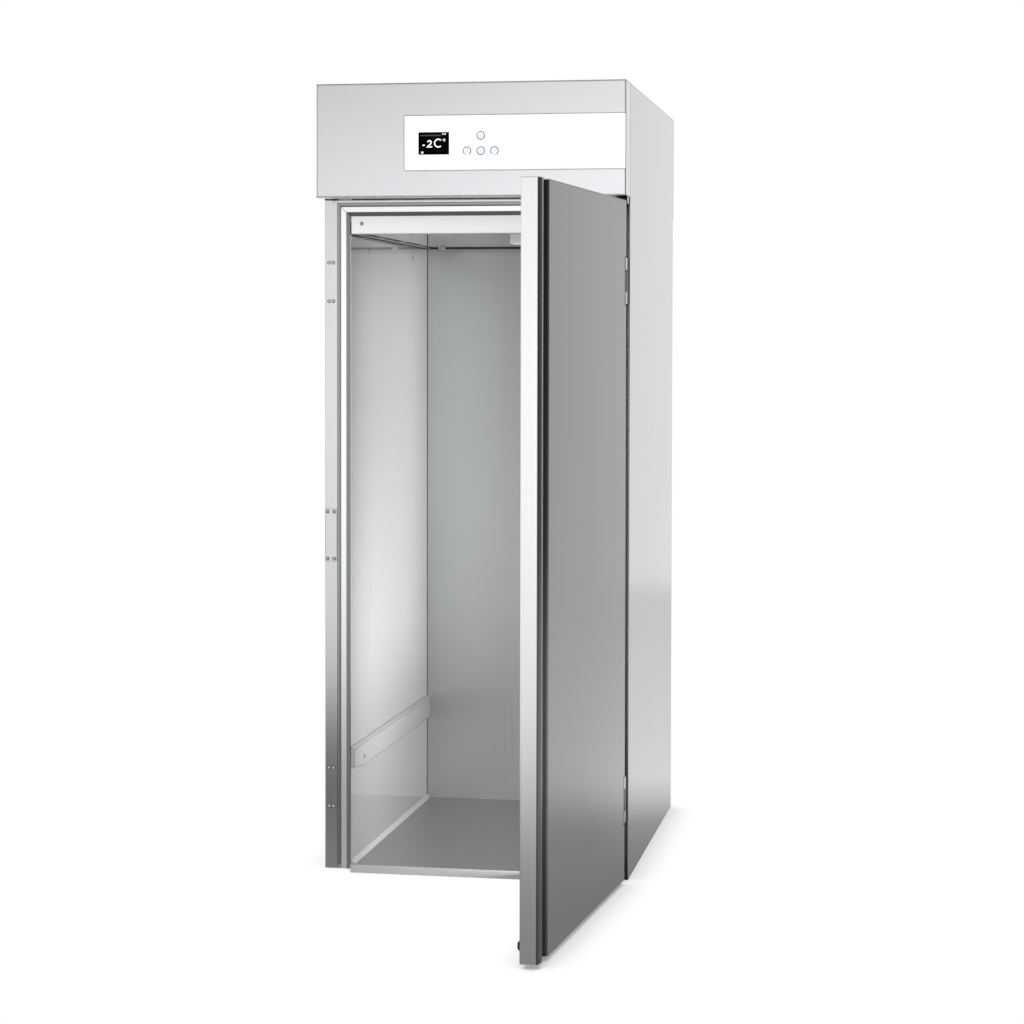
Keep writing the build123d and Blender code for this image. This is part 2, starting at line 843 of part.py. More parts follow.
# Header and controls, placed from the header's left and top edges
strip_x0 = strip_left - half
strip_x1 = half - header_sheet
strip_z1 = cabinet_height - strip_top
strip_z0 = strip_z1 - strip_height
key_places = {
    "key_up": (0, 0),
    "key_left": (-1, 1),
    "key_middle": (0, 1),
    "key_right": (1, 1),
}


def key_centre(column, row):
    x = key_column + column * key_pitch - half
    z = cabinet_height - key_row_top - row * key_row_pitch
    return x, z


def header_tab():
    """Small plate under the header's right end, beside the door's hinge edge."""
    x1 = half - header_tab_inset
    z0 = header_bottom - header_tab_drop
    tab = block(x1 - header_tab_sheet, x1, front - header_tab_reach, front, z0, header_bottom)
    corner = tab.edges().filter_by(Axis.X).group_by(Axis.Z)[0].sort_by(Axis.Y)[0]
    return fillet(corner, header_tab_corner)


def header_parts():
    depth = header_overhang - header_back_gap
    corner = angle_section(half, depth, header_sheet, bend_radius)
    right = Pos(half, header_front) * mirror(corner, about=Plane.YZ)
    left = Pos(-half, header_front) * corner
    panel = upright(left, header_bottom, cabinet_height) + upright(right, header_bottom, cabinet_height)
    inside = half - header_sheet
    y1 = header_front + depth
    for z0 in (header_bottom, cabinet_height - header_sheet):
        panel += block(-inside, inside, header_front + header_sheet, y1, z0, z0 + header_sheet)
    for side in (-1, 1):
        x = side * (half - header_foot_inset)
        panel += block(
            x - header_foot_width / 2,
            x + header_foot_width / 2,
            y1 - header_back_gap,
            front + header_foot_length,
            box_height,
            header_bottom + header_sheet,
        )
    display_x0 = display_left - half
    display_z1 = cabinet_height - display_top
    strip_front = header_front - strip_proud
    strip_back = strip_front + strip_sheet
    panel -= block(strip_x0, strip_x1, header_front - 1, strip_back, strip_z0, strip_z1)
    strip = block(strip_x0, strip_x1, strip_front, strip_back, strip_z0, strip_z1)
    strip = fillet(strip.edges().filter_by(Axis.Y), strip_corner)
    window = block(
        display_x0,
        display_x0 + display_width,
        strip_front + display_recess,
        strip_front + display_recess + display_sheet,
        display_z1 - display_height,
        display_z1,
    )
    strip -= block(
        display_x0,
        display_x0 + display_width,
        strip_front - 1,
        strip_back + 1,
        display_z1 - display_height,
        display_z1,
    )
    parts = {"header_tab": header_tab()}
    for name, (column, row) in key_places.items():
        x, z = key_centre(column, row)
        strip -= rod_y(x, z, strip_front - 1, strip_back + 1, key_radius + key_clearance)
        cap = rod_y(x, z, strip_front - key_proud, strip_back + key_back_gap, key_radius)
        cap = fillet(cap.faces().sort_by(Axis.Y)[0].edges(), key_round)
        back = strip_back + key_back_gap
        collar = rod_y(x, z, back, back + key_collar_thickness, key_radius + key_collar)
        parts[name] = cap + collar
    parts.update({"header_panel": panel, "control_strip": strip, "display_window": window})
    box_front = strip_back + key_back_gap + key_collar_thickness + electrical_gap
    parts["electrical_box"] = block(
        strip_x0,
        strip_x0 + box_width,
        box_front,
        y1 - header_back_gap - joint_gap,
        header_bottom + header_sheet,
        strip_z1 - electrical_top_margin,
    )
    return parts


def fan(axis_radius):
    """A fan about the Y axis at the origin, its hub from y = 0 backwards."""
    wheel = rod_y(0, 0, 0, fan_hub_length, fan_hub_radius)
    reach = fan_radius - fan_hub_radius / 2
    blade = Pos(fan_hub_radius / 2 + reach / 2, fan_hub_length / 2, 0) * Rot(fan_blade_pitch, 0, 0)
    blade = blade * Box(reach, fan_blade_sheet, fan_blade_chord)
    blade &= rod_y(0, 0, 0, fan_hub_length, fan_radius)
    for number in range(fan_blades):
        wheel += Rot(0, number * 360 / fan_blades, 0) * blade
    return wheel - rod_y(0, 0, -1, fan_hub_length + 1, axis_radius)


def motor():
    """A fan motor behind the hub, with the shaft that carries it."""
    start = fan_hub_length + motor_gap
    body = rod_y(0, 0, start, start + motor_length, motor_radius)
    return body + rod_y(0, 0, 0, start + 1, shaft_radius)


def finned_block(x0, x1, y0, y1, z0, z1):
    """A heat exchanger: a core with upright fins that stand proud at its front and back."""
    coil = block(x0, x1, y0 + fin_proud, y1 - fin_proud, z0, z1)
    count = int((x1 - x0 - fin_sheet) // fin_pitch)
    for number in range(count + 1):
        x = x0 + number * fin_pitch
        coil += block(x, x + fin_sheet, y0, y1, z0, z1)
    return coil


def evaporator_parts():
    x = air_cut_middle
    y0, y1 = cut_y0, cut_y1
    z0, z1 = box_height, box_height + case_height
    case = block(cut_x0 - case_wall, cut_x1 + case_wall, y0 - case_wall, y1 + case_wall, z0, z1)
    case -= block(cut_x0, cut_x1, y0, y1, z0, z1 - case_wall)
    coil_y1 = y1 - coil_rear_gap
    coil_y0 = coil_y1 - coil_depth
    coil_z0 = z0 + coil_lift
    x0, x1 = cut_x0 + coil_side_gap, cut_x1 - coil_side_gap
    coil = finned_block(x0, x1, coil_y0, coil_y1, coil_z0, coil_z0 + coil_height)
    core_y0, core_y1 = coil_y0 + fin_proud, coil_y1 - fin_proud
    for foot_x0, foot_x1 in ((cut_x0, x0), (x1, cut_x1)):
        coil += block(foot_x0, foot_x1, core_y0, core_y1, coil_z0, coil_z0 + coil_foot)
    fan_y = y0 + evaporator_fan_gap
    fan_z = z0 + evaporator_fan_lift
    wheel = Pos(x, fan_y, fan_z) * fan(shaft_radius + shaft_clearance)
    case += Pos(x, fan_y, fan_z) * motor()
    hanger_y = fan_y + fan_hub_length + motor_gap
    hanger_y1 = hanger_y + motor_length
    case += block(x - shroud_arm, x + shroud_arm, hanger_y, hanger_y1, fan_z, z1 - case_wall)
    return {"evaporator_case": case, "evaporator_coil": coil, "evaporator_fan": wheel}


def condensing_parts():
    z0 = box_height
    x1 = half - sheet - condenser_rear_gap
    x0 = x1 - condenser_width
    y1 = unit_rear - sheet - condenser_rear_gap
    y0 = y1 - condenser_depth
    low = z0 + condenser_lift
    condenser = finned_block(x0, x1, y0, y1, low, low + condenser_height)
    condenser += block(x0, x1, y0 + fin_proud, y1 - fin_proud, z0, low)
    middle_x = (x0 + x1) / 2
    middle_z = low + condenser_height / 2
    shroud_y = y0 - shroud_depth
    shroud = block(x0, x1, shroud_y, y0, z0, low + condenser_height)
    shroud -= block(
        x0 + shroud_sheet,
        x1 - shroud_sheet,
        shroud_y + shroud_sheet,
        y0,
        z0 + shroud_sheet,
        low + condenser_height - shroud_sheet,
    )
    ring_inner = fan_radius + fan_tip_clearance
    ring_outer = ring_inner + shroud_sheet
    ring_y = shroud_y - shroud_ring
    shroud += rod_y(middle_x, middle_z, ring_y, shroud_y + shroud_sheet, ring_outer)
    shroud -= rod_y(middle_x, middle_z, ring_y - 1, shroud_y + shroud_sheet + 1, ring_inner)
    wheel_y = shroud_y - fan_hub_length / 2
    motor_front = wheel_y - motor_gap
    place = Pos(middle_x, wheel_y, middle_z)
    wheel = place * fan(shaft_radius + shaft_clearance)
    shroud += rod_y(middle_x, middle_z, motor_front - motor_length, motor_front, motor_radius)
    shroud += rod_y(middle_x, middle_z, motor_front - 1, wheel_y + fan_hub_length, shaft_radius)
    arm_reach = ring_outer + 2 * shroud_sheet
    arm_start = ring_inner + shroud_sheet / 2
    arm_y = motor_front - shroud_arm
    arm = block(0, arm_reach, arm_y, motor_front, -shroud_arm / 2, shroud_arm / 2)
    arm += block(arm_start, arm_reach, arm_y, shroud_y + sheet, -shroud_arm / 2, shroud_arm / 2)
    for turn in (0, 120, 240):
        shroud += Pos(middle_x, 0, middle_z) * Rot(0, turn + 90, 0) * arm
    return {"condenser": condenser, "fan_shroud": shroud, "condenser_fan": wheel}


compressor_x = -(half - sheet - condenser_rear_gap - compressor_radius)
compressor_y = front + compressor_from_front
drier_x = compressor_x + compressor_radius + drier_radius + pipe_clearance * 2


def compressor():
    """Welded pot on a foot plate."""
    z0 = box_height + compressor_foot
    pot = rod_z(compressor_x, compressor_y, z0, z0 + compressor_height, compressor_radius)
    pot = fillet(pot.edges().filter_by(GeomType.CIRCLE), compressor_dome)
    reach = compressor_foot_reach
    foot = block(
        compressor_x - reach,
        compressor_x + reach,
        compressor_y - reach,
        compressor_y + reach,
        box_height,
        z0 + compressor_foot_sheet,
    )
    return pot + foot


def pipe(points, radius):
    """A bent tube of straight runs and round corners."""
    path = FilletPolyline(*points, radius=pipe_bend)
    start = Vector(*points[0])
    direction = Vector(*points[1]) - start
    section = Plane(origin=start, z_dir=direction) * Circle(radius)
    return sweep(section, path=path)


def refrigerant_pipes(drier_low, drier_high):
    """Suction, discharge, liquid and capillary lines between the pieces of the unit."""
    case_front = cut_y0 - case_wall
    low_z = box_height + compressor_foot
    top_z = low_z + compressor_height
    suction_z = low_z + compressor_height / 2
    suction_x = compressor_x + compressor_radius / 2
    suction_y = (case_front + compressor_y + compressor_radius) / 2
    suction = [
        (suction_x, case_front, suction_z),
        (suction_x, suction_y, suction_z),
        (compressor_x, suction_y, suction_z),
        (compressor_x, compressor_y + compressor_radius, suction_z),
    ]
    condenser_x = half - sheet - condenser_rear_gap - condenser_width
    condenser_y = unit_rear - sheet - condenser_rear_gap - condenser_depth / 2
    route_x = (cut_x1 + case_wall + condenser_x) / 2
    hot_z = box_height + case_height + pipe_clearance
    discharge = [
        (compressor_x, compressor_y, top_z),
        (compressor_x, compressor_y, hot_z),
        (route_x, compressor_y, hot_z),
        (route_x, condenser_y, hot_z),
        (condenser_x, condenser_y, hot_z),
    ]
    liquid = [
        (condenser_x, condenser_y, low_z),
        (route_x, condenser_y, low_z),
        (route_x, compressor_y, low_z),
        (drier_x, compressor_y, low_z),
        (drier_x, compressor_y, drier_low),
    ]
    capillary = [
        (drier_x, compressor_y, drier_high),
        (drier_x, compressor_y, drier_high + 2 * pipe_bend),
        (drier_x, case_front, drier_high + 2 * pipe_bend),
    ]
    lines = [pipe(points, pipe_radius) for points in (suction, discharge, liquid)]
    return group(lines + [pipe(capillary, capillary_radius)])


def unit_parts():
    base = tray_inside_skins(unit_rear - sheet, box_top_inside, box_height)
    base -= air_cut(ceiling, box_height + 1)
    drier_low = box_height + drier_lift
    drier_high = drier_low + drier_length
    drier = rod_z(drier_x, compressor_y, drier_low, drier_high, drier_radius)
    drier = chamfer(drier.edges().filter_by(GeomType.CIRCLE), drier_taper)
    x0 = -tray_width / 2
    y0 = front + sheet + condenser_rear_gap + header_foot_length
    z1 = box_height + tray_height
    tray = block(x0, x0 + tray_width, y0, y0 + tray_depth, box_height, z1)
    tray -= block(
        x0 + tray_wall,
        x0 + tray_width - tray_wall,
        y0 + tray_wall,
        y0 + tray_depth - tray_wall,
        box_height + tray_wall,
        z1,
    )
    return {
        "unit_base": base,
        "compressor": compressor(),
        "filter_drier": drier,
        "refrigerant_pipes": refrigerant_pipes(drier_low, drier_high),
        "condensate_tray": tray,
    }


def covers():
    z1 = cabinet_height - top_cover_sheet
    top = block(sheet - half, half - sheet, front, unit_rear, z1, cabinet_height)
    grille = block(sheet - half, half - sheet, unit_rear - sheet, unit_rear, box_height, z1)
    x1 = half - sheet - louvre_inset
    x0 = x1 - louvre_width
    for number in range(louvre_count):
        z = box_height + louvre_lift + number * louvre_pitch
        grille -= block(x0, x1, unit_rear - 2 * sheet, unit_rear + 1, z, z + louvre_height)
    x = inlet_inset - half
    z = box_height + inlet_lift
    y0 = unit_rear - sheet - inlet_length / 2
    grille -= rod_y(x, z, y0, unit_rear + 1, inlet_radius)
    inlet = rod_y(x, z, y0, unit_rear, inlet_radius) + rod_y(x, z, y0, y0 + inlet_nut, inlet_nut_radius)
    inlet -= rod_y(x, z, y0 - 1, unit_rear + 1, inlet_bore)
    return {"top_cover": top, "rear_grille": grille, "mains_inlet": inlet}


def build():
    parts = {}
    parts.update(skins())
    parts["post_bars"] = post_bars()
    parts.update(insulation())
    parts.update(liners())
    parts["lintel_strip"] = lintel_strip()
    parts["frame_breaker"] = frame_breaker()
    parts["lintel_cover"] = lintel_cover()
    parts.update(floor_parts())
    rail = bumper_rail()
    parts["bumper_rails"] = group([mirrored(rail), rail])
    parts["frame_screws"] = frame_screws()
    parts["hole_plugs"] = hole_plugs()
    parts["strike_plate"] = strike_plate()
    parts.update(hinge_parts())
    parts.update(air_guide_parts())
    parts.update(lamp_and_probe())
    parts.update({name: opened(shape) for name, shape in door_parts().items()})
    parts.update(header_parts())
    parts.update(evaporator_parts())
    parts.update(condensing_parts())
    parts.update(unit_parts())
    parts.update(covers())
    return parts


os.makedirs("parts", exist_ok=True)
for name, shape in build().items():
    export_step(shape, f"parts/{name}.step")
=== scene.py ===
# %% [markdown]
# # A roll-in refrigerator in Blender
# The object is a tall stainless-steel cold cabinet that a trolley is wheeled into. Its solids come from a
# CAD program as a fixed frame. Here they get their real finishes, and the fine pieces that CAD leaves out,
# such as the digits on the display, the marks on the keys and the folded profile of the door gasket.

# %% Load the frame
import bmesh
import bpy
import math
import numpy as np
from mathutils import Matrix, Vector


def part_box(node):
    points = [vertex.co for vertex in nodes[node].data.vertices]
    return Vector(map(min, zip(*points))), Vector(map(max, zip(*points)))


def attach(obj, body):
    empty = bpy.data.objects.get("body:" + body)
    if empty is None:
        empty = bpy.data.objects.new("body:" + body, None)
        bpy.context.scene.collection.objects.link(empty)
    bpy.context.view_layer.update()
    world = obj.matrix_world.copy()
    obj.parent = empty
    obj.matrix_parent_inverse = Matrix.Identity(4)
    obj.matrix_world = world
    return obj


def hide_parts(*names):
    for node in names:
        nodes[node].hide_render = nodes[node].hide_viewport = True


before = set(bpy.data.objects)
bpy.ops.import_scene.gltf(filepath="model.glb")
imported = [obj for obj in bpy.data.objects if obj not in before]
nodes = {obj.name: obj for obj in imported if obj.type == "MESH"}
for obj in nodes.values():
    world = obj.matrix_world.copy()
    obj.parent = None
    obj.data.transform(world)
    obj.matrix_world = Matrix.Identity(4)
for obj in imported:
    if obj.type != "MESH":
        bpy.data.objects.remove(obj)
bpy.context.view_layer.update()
bpy.context.scene.view_settings.view_transform = "Standard"

# %% [markdown]
# ## Small helpers
# Colours are written as the hex values that a paint chart would give, so one function turns them into the
# linear numbers that shaders use. A second one adds a shader node with its settings and its links.

# %% Colour and node helpers


def colour(code):
    """sRGB hex to linear RGBA: below 0.04045 divide by 12.92, above it ((c + 0.055) / 1.055) ** 2.4."""
    values = np.array([int(code[i : i + 2], 16) for i in (1, 3, 5)]) / 255.0
    linear = np.where(values <= 0.04045, values / 12.92, ((values + 0.055) / 1.055) ** 2.4)
    return (*linear.tolist(), 1.0)


def add(tree, kind, settings=None, **inputs):
    """Adds one node. Settings are its attributes, inputs are values or sockets. An input called i6 is the
    one with number 6, and in any other name _ means a space."""
    node = tree.nodes.new(kind)
    for key, value in (settings or {}).items():
        setattr(node, key, value)
    for key, value in inputs.items():
        by_number = key[0] == "i" and key[1:].isdigit()
        socket = node.inputs[int(key[1:]) if by_number else key.replace("_", " ")]
        if isinstance(value, bpy.types.NodeSocket):
            tree.links.new(value, socket)
        else:
            socket.default_value = value
    return node


def new_material(name):
    """An empty node material, with the Object coordinates that its patterns use; the caller adds the output.
    """
    material = bpy.data.materials.new(name)
    material.use_nodes = True
    tree = material.node_tree
    tree.nodes.clear()
    place = add(tree, "ShaderNodeTexCoord").outputs["Object"]
    return material, tree, place


def set_ramp(node, stops):
    """Fills a Color Ramp with (position, value) or (position, colour) stops."""
    ramp = node.color_ramp
    while len(ramp.elements) > 1:
        ramp.elements.remove(ramp.elements[-1])
    for index, (position, value) in enumerate(stops):
        element = ramp.elements[0] if index == 0 else ramp.elements.new(position)
        element.position = position
        element.color = value if isinstance(value, tuple) else (value, value, value, 1.0)


# %% [markdown]
# ## The camera
# The photograph was taken from about 6.5 m away and 1.5 m up, to the right of the cabinet, with a long
# lens. The position, the lens and the small shifts come from a fit of the cabinet's corners.

# %% Camera
camera_data = bpy.data.cameras.new("photo_camera")
camera_data.lens = 76.168
camera_data.sensor_width = 36.0
camera_data.shift_x = -0.08
camera_data.shift_y = -0.1061
camera = bpy.data.objects.new("photo_camera", camera_data)
bpy.context.scene.collection.objects.link(camera)
turn = Matrix.Rotation(math.radians(8.983), 4, "Z")
tilt = Matrix.Rotation(math.radians(90.0 - 1.5), 4, "X")
roll = Matrix.Rotation(math.radians(0.158), 4, "Z")
camera.matrix_world = Matrix.Translation((1.2733, -6.4227, 1.4834)) @ turn @ tilt @ roll
bpy.context.scene.camera = camera
print("camera at", tuple(round(v, 3) for v in camera.location))

# %% [markdown]
# ## The sky
# The object stands in a white studio. Rays that come straight from the camera, and those that a mirror or a
# glass sends on, see plain white, which is an emission of 1. Rays that carry diffuse light see a dimmer
# white, so that the white background never adds light to the object. The sky isn't sampled as a lamp,
# because a sampled sky would mix those two answers.

# %% World


def build_sky(light_level):
    world = bpy.data.worlds.new("white_studio")
    bpy.context.scene.world = world
    world.cycles.sampling_method = "NONE"
    world.use_nodes = True
    tree = world.node_tree
    tree.nodes.clear()
    light = add(tree, "ShaderNodeBackground", Color=(0.98, 0.99, 1.0, 1.0), Strength=light_level)
    white = add(tree, "ShaderNodeBackground", Color=(1.0, 1.0, 1.0, 1.0), Strength=1.0)
    choice = add(tree, "ShaderNodeMixShader", i0=seen_ray(tree), i1=light.outputs[0], i2=white.outputs[0])
    add(tree, "ShaderNodeOutputWorld", Surface=choice.outputs[0])


def seen_ray(tree):
    """1 for a ray from the camera, a mirror or a glass, 0 for diffuse light and shadows."""
    rays = add(tree, "ShaderNodeLightPath")
    mirrored = add(tree, "ShaderNodeMath", {"operation": "MAXIMUM"}, i0=rays.outputs["Is Glossy Ray"],
                   i1=rays.outputs["Is Transmission Ray"])
    seen = add(tree, "ShaderNodeMath", {"operation": "MAXIMUM"}, i0=rays.outputs["Is Camera Ray"],
               i1=mirrored.outputs[0])
    return seen.outputs[0]


build_sky(0.6)
print("sky made")

# %% [markdown]
# ## The floor
# The floor is white paper. In the open it is pure white for the camera. Close to the object, where the
# sky over a point is partly hidden, it stays a plain diffuse sheet, so that it keeps the soft shadow.

# %% Grid and floor


def grid_mesh(name, x, y, z):
    """A mesh of quads over 2-D arrays of points: point (i, j) joins (i+1, j), (i+1, j+1) and (i, j+1)."""
    rows, columns = x.shape
    number = np.arange(rows * columns).reshape(rows, columns)
    quads = np.stack([number[:-1, :-1], number[1:, :-1], number[1:, 1:], number[:-1, 1:]], axis=-1)
    mesh = bpy.data.meshes.new(name)
    mesh.from_pydata(np.stack([x, y, z], axis=-1).reshape(-1, 3).tolist(), [], quads.reshape(-1, 4).tolist())
    mesh.update()
    return mesh


def stand(name, mesh, material):
    """A thing of the studio: it isn't part of the object."""
    thing = bpy.data.objects.new(name, mesh)
    mesh.materials.append(material)
    bpy.context.scene.collection.objects.link(thing)
    return thing


def distance_from(tree, place, centre):
    away = add(tree, "ShaderNodeVectorMath", {"operation": "SUBTRACT"}, i0=place, i1=centre)
    return add(tree, "ShaderNodeVectorMath", {"operation": "LENGTH"}, i0=away.outputs[0]).outputs["Value"]


def studio_paper():
    material, tree, place = new_material("white_studio_paper")
    paper = add(tree, "ShaderNodeBsdfDiffuse", Color=(0.95, 0.95, 0.95, 1.0))
    glow = add(tree, "ShaderNodeEmission", Color=(1.0, 1.0, 1.0, 1.0), Strength=1.0)
    sky = add(tree, "ShaderNodeAmbientOcclusion", {"samples": 16}, Distance=0.14)
    fade = add(tree, "ShaderNodeMapRange", {"interpolation_type": "SMOOTHSTEP"}, Value=sky.outputs["AO"],
               From_Min=0.3, From_Max=0.92, To_Min=0.15, To_Max=1.0)
    part = add(tree, "ShaderNodeMath", {"operation": "MULTIPLY"}, i0=fade.outputs[0], i1=seen_ray(tree))
    sheet = add(tree, "ShaderNodeMixShader", i0=part.outputs[0], i1=paper.outputs[0], i2=glow.outputs[0])
    add(tree, "ShaderNodeOutputMaterial", Surface=sheet.outputs[0])
    material.cycles.emission_sampling = "NONE"
    return material


span_x, span_y = np.meshgrid(np.linspace(-40, 40, 9), np.linspace(-40, 40, 9), indexing="ij")
stand("studio_floor", grid_mesh("studio_floor", span_x, span_y, np.zeros_like(span_x)), studio_paper())
print("floor", span_x.shape)

# %% [markdown]
# ## Cards for the steel to mirror
# Polished sheet shows whatever stands round it, so a white studio alone leaves it flat. A photographer puts
# up cards: a bright wall in front, paler ones behind and a dark one on the right, which draws the dark lines
# along the door's edge. Here they are one ring of cards, 7 m out, and a grey sheet over the floor that gets
# paler further away. Only mirror images show them. The camera, the shadows and the diffuse light don't.

# %% Cards


def card_material(name, tint):
    """An emission whose strength the caller's nodes work out, and that isn't used as a lamp."""
    material, tree, place = new_material(name)
    material.cycles.emission_sampling = "NONE"
    strength = tint(tree, place)
    glow = add(tree, "ShaderNodeEmission", Color=(0.99, 0.995, 1.0, 1.0), Strength=strength)
    add(tree, "ShaderNodeOutputMaterial", Surface=glow.outputs[0])
    return material


def only_mirrored(card):
    card.visible_camera = False
    card.visible_diffuse = False
    card.visible_shadow = False
    card.visible_volume_scatter = False


def ring_tint(tree, place):
    """Share of the way round, 0.5 straight behind the cabinet, 0 and 1 in front, times a fade with height."""
    parts = add(tree, "ShaderNodeSeparateXYZ", Vector=place)
    angle = add(tree, "ShaderNodeMath", {"operation": "ARCTAN2"}, i0=parts.outputs["X"],
                i1=parts.outputs["Y"])
    share = add(tree, "ShaderNodeMath", {"operation": "MULTIPLY_ADD"}, i0=angle.outputs[0], i1=1 / math.tau,
                i2=0.5)
    around = add(tree, "ShaderNodeValToRGB", Fac=share.outputs[0])
    set_ramp(around, [
        (0.0, 1.15), (0.02, 1.05), (0.042, 0.92), (0.055, 0.83), (0.10, 0.78), (0.25, 0.65), (0.40, 0.66),
        (0.50, 0.76), (0.535, 0.78), (0.555, 0.56), (0.575, 0.36), (0.62, 0.12), (0.80, 0.05), (0.90, 0.15),
        (0.935, 1.2), (0.95, 2.2), (0.97, 2.2), (0.985, 1.3), (1.0, 1.2),
    ])
    front = add(tree, "ShaderNodeMath", {"operation": "MULTIPLY", "use_clamp": True}, i0=parts.outputs["Y"],
                i1=-0.2)
    height = add(tree, "ShaderNodeMapRange", Value=parts.outputs["Z"], From_Min=0.0, From_Max=5.0)
    upwards = add(tree, "ShaderNodeValToRGB", Fac=height.outputs[0])
    set_ramp(upwards, [(0.0, 0.85), (0.2, 1.02), (0.34, 1.02), (0.44, 0.90), (0.50, 0.92), (0.56, 0.74),
                       (0.64, 0.64), (1.0, 0.55)])
    faded = add(tree, "ShaderNodeMix", {"data_type": "RGBA", "blend_type": "MULTIPLY"}, i0=front.outputs[0],
                i6=around.outputs[0], i7=upwards.outputs[0])
    level = add(tree, "ShaderNodeMath", {"operation": "MULTIPLY"}, i0=faded.outputs[2], i1=1.25)
    return level.outputs[0]


def floor_card_tint(tree, place):
    """Darkest under the object and paler outwards, sooner behind than in front, with a dark patch at the
    front left and a dark wedge behind on the right."""
    far = add(tree, "ShaderNodeMapRange", Value=distance_from(tree, place, (0.1, -1.0, 0.0)), From_Min=0.0,
              From_Max=6.0)
    front = add(tree, "ShaderNodeValToRGB", Fac=far.outputs[0])
    set_ramp(front, [(0.0, 0.22), (0.1, 0.24), (0.2, 0.32), (0.3, 0.46), (0.4, 0.62), (0.5, 0.76),
                     (0.67, 0.9), (1.0, 0.98)])
    back = add(tree, "ShaderNodeValToRGB", Fac=far.outputs[0])
    set_ramp(back, [(0.0, 0.22), (0.15, 0.27), (0.22, 0.38), (0.27, 0.62), (0.33, 0.84), (0.5, 0.80),
                    (1.0, 0.74)])
    parts = add(tree, "ShaderNodeSeparateXYZ", Vector=place)
    behind = add(tree, "ShaderNodeMapRange", {"interpolation_type": "SMOOTHSTEP"}, Value=parts.outputs["Y"],
                 From_Min=-0.6, From_Max=0.4)
    pool = add(tree, "ShaderNodeMix", {"data_type": "RGBA"}, i0=behind.outputs[0], i6=front.outputs[0],
               i7=back.outputs[0])
    patch = add(tree, "ShaderNodeMapRange", {"interpolation_type": "SMOOTHSTEP"},
                Value=distance_from(tree, place, (-1.1, -2.2, 0.0)), From_Min=0.3, From_Max=1.8, To_Min=0.34,
                To_Max=1.0)
    right = add(tree, "ShaderNodeMath", {"operation": "SUBTRACT"}, i0=parts.outputs["X"], i1=0.35)
    onwards = add(tree, "ShaderNodeMath", {"operation": "ADD"}, i0=parts.outputs["Y"], i1=1.2)
    slope = add(tree, "ShaderNodeMath", {"operation": "DIVIDE"}, i0=right.outputs[0], i1=onwards.outputs[0])
    wedge = add(tree, "ShaderNodeMapRange", {"interpolation_type": "SMOOTHSTEP"}, Value=slope.outputs[0],
                From_Min=0.2, From_Max=0.4, To_Min=1.0, To_Max=0.55)
    there = add(tree, "ShaderNodeMix", {"data_type": "FLOAT"}, i0=behind.outputs[0], i2=patch.outputs[0],
                i3=wedge.outputs[0])
    level = add(tree, "ShaderNodeMath", {"operation": "MULTIPLY"}, i0=pool.outputs[2], i1=there.outputs[0])
    return level.outputs[0]


ring_radius, ring_height = 7.0, 6.0
whole_turn = np.linspace(0, math.tau, 73)
turn_angle, level = np.meshgrid(whole_turn, np.linspace(0.0, ring_height, 3), indexing="ij")
ring_mesh = grid_mesh("card_ring", ring_radius * np.cos(turn_angle), ring_radius * np.sin(turn_angle), level)
ring = stand("card_ring", ring_mesh, card_material("card_ring_tone", ring_tint))
turn_angle, reach = np.meshgrid(whole_turn, np.linspace(0.01, ring_radius, 5), indexing="ij")
just_above = np.full_like(reach, 0.001)
sheet_mesh = grid_mesh("card_floor", reach * np.cos(turn_angle), reach * np.sin(turn_angle), just_above)
sheet = stand("card_floor", sheet_mesh, card_material("card_floor_tone", floor_card_tint))
for card in (ring, sheet):
    only_mirrored(card)
print("cards:", ring.name, sheet.name)

# %% [markdown]
# ## The lamps
# Large soft boxes give shape without hard shadows: one in front on the left, one on the right, one above.
# Two more are hidden in the chamber behind the open door, as photographers do to light a deep cabinet: one
# lights the left wall, with a narrow beam, the other the foot of the rear wall. All are kept out of mirror
# images, because the cards are there for those.

# %% Lamps


def soft_box(name, place, target, width, height, watts, beam=180.0):
    data = bpy.data.lights.new(name, "AREA")
    data.shape = "RECTANGLE"
    data.size = width
    data.size_y = height
    data.energy = watts
    data.spread = math.radians(beam)
    lamp = bpy.data.objects.new(name, data)
    way = Vector(target) - Vector(place)
    lamp.matrix_world = Matrix.Translation(place) @ way.to_track_quat("-Z", "Y").to_matrix().to_4x4()
    lamp.visible_glossy = False
    lamp.visible_camera = False
    bpy.context.scene.collection.objects.link(lamp)
    return lamp


soft_box("key_box", (-2.2, -5.5, 4.6), (0, 0, 1.0), 3.5, 3.5, 160)
soft_box("fill_box", (3.5, -4.5, 2.5), (0, 0, 1.0), 3.0, 3.0, 40)
soft_box("top_box", (0.0, 0.5, 5.5), (0, 0, 0), 5.0, 5.0, 100)
soft_box("wall_box", (0.30, -0.05, 1.12), (-0.36, -0.05, 1.12), 0.8, 1.3, 5, beam=44.0)
soft_box("foot_box", (0.22, -0.46, 0.45), (-0.15, 0.44, 0.42), 0.06, 0.8, 16)

# %% [markdown]
# ## Stainless steel
# The cabinet is chrome-nickel sheet, brushed on a belt: the belt leaves fine parallel scratches, which
# blur a reflection, and the thin sheet is never quite flat, which bends it slightly. So each steel has a
# roughness that varies in long streaks along the grain, and a bump of broad, very low waves. Real belt
# marks are about 0.1 mm wide. They are drawn 2 mm wide and 300 mm long, so that they just show.

# %% Steel
hinge_x, hinge_y = 0.4235, -0.5415
open_angle = math.radians(84.5)


def dimmed(tree, shade, factor):
    grey = add(tree, "ShaderNodeCombineColor", Red=factor, Green=factor, Blue=factor)
    mixed = add(tree, "ShaderNodeMix", {"data_type": "RGBA", "blend_type": "MULTIPLY"}, i0=1.0, i6=shade,
                i7=grey.outputs[0])
    return mixed.outputs[2]


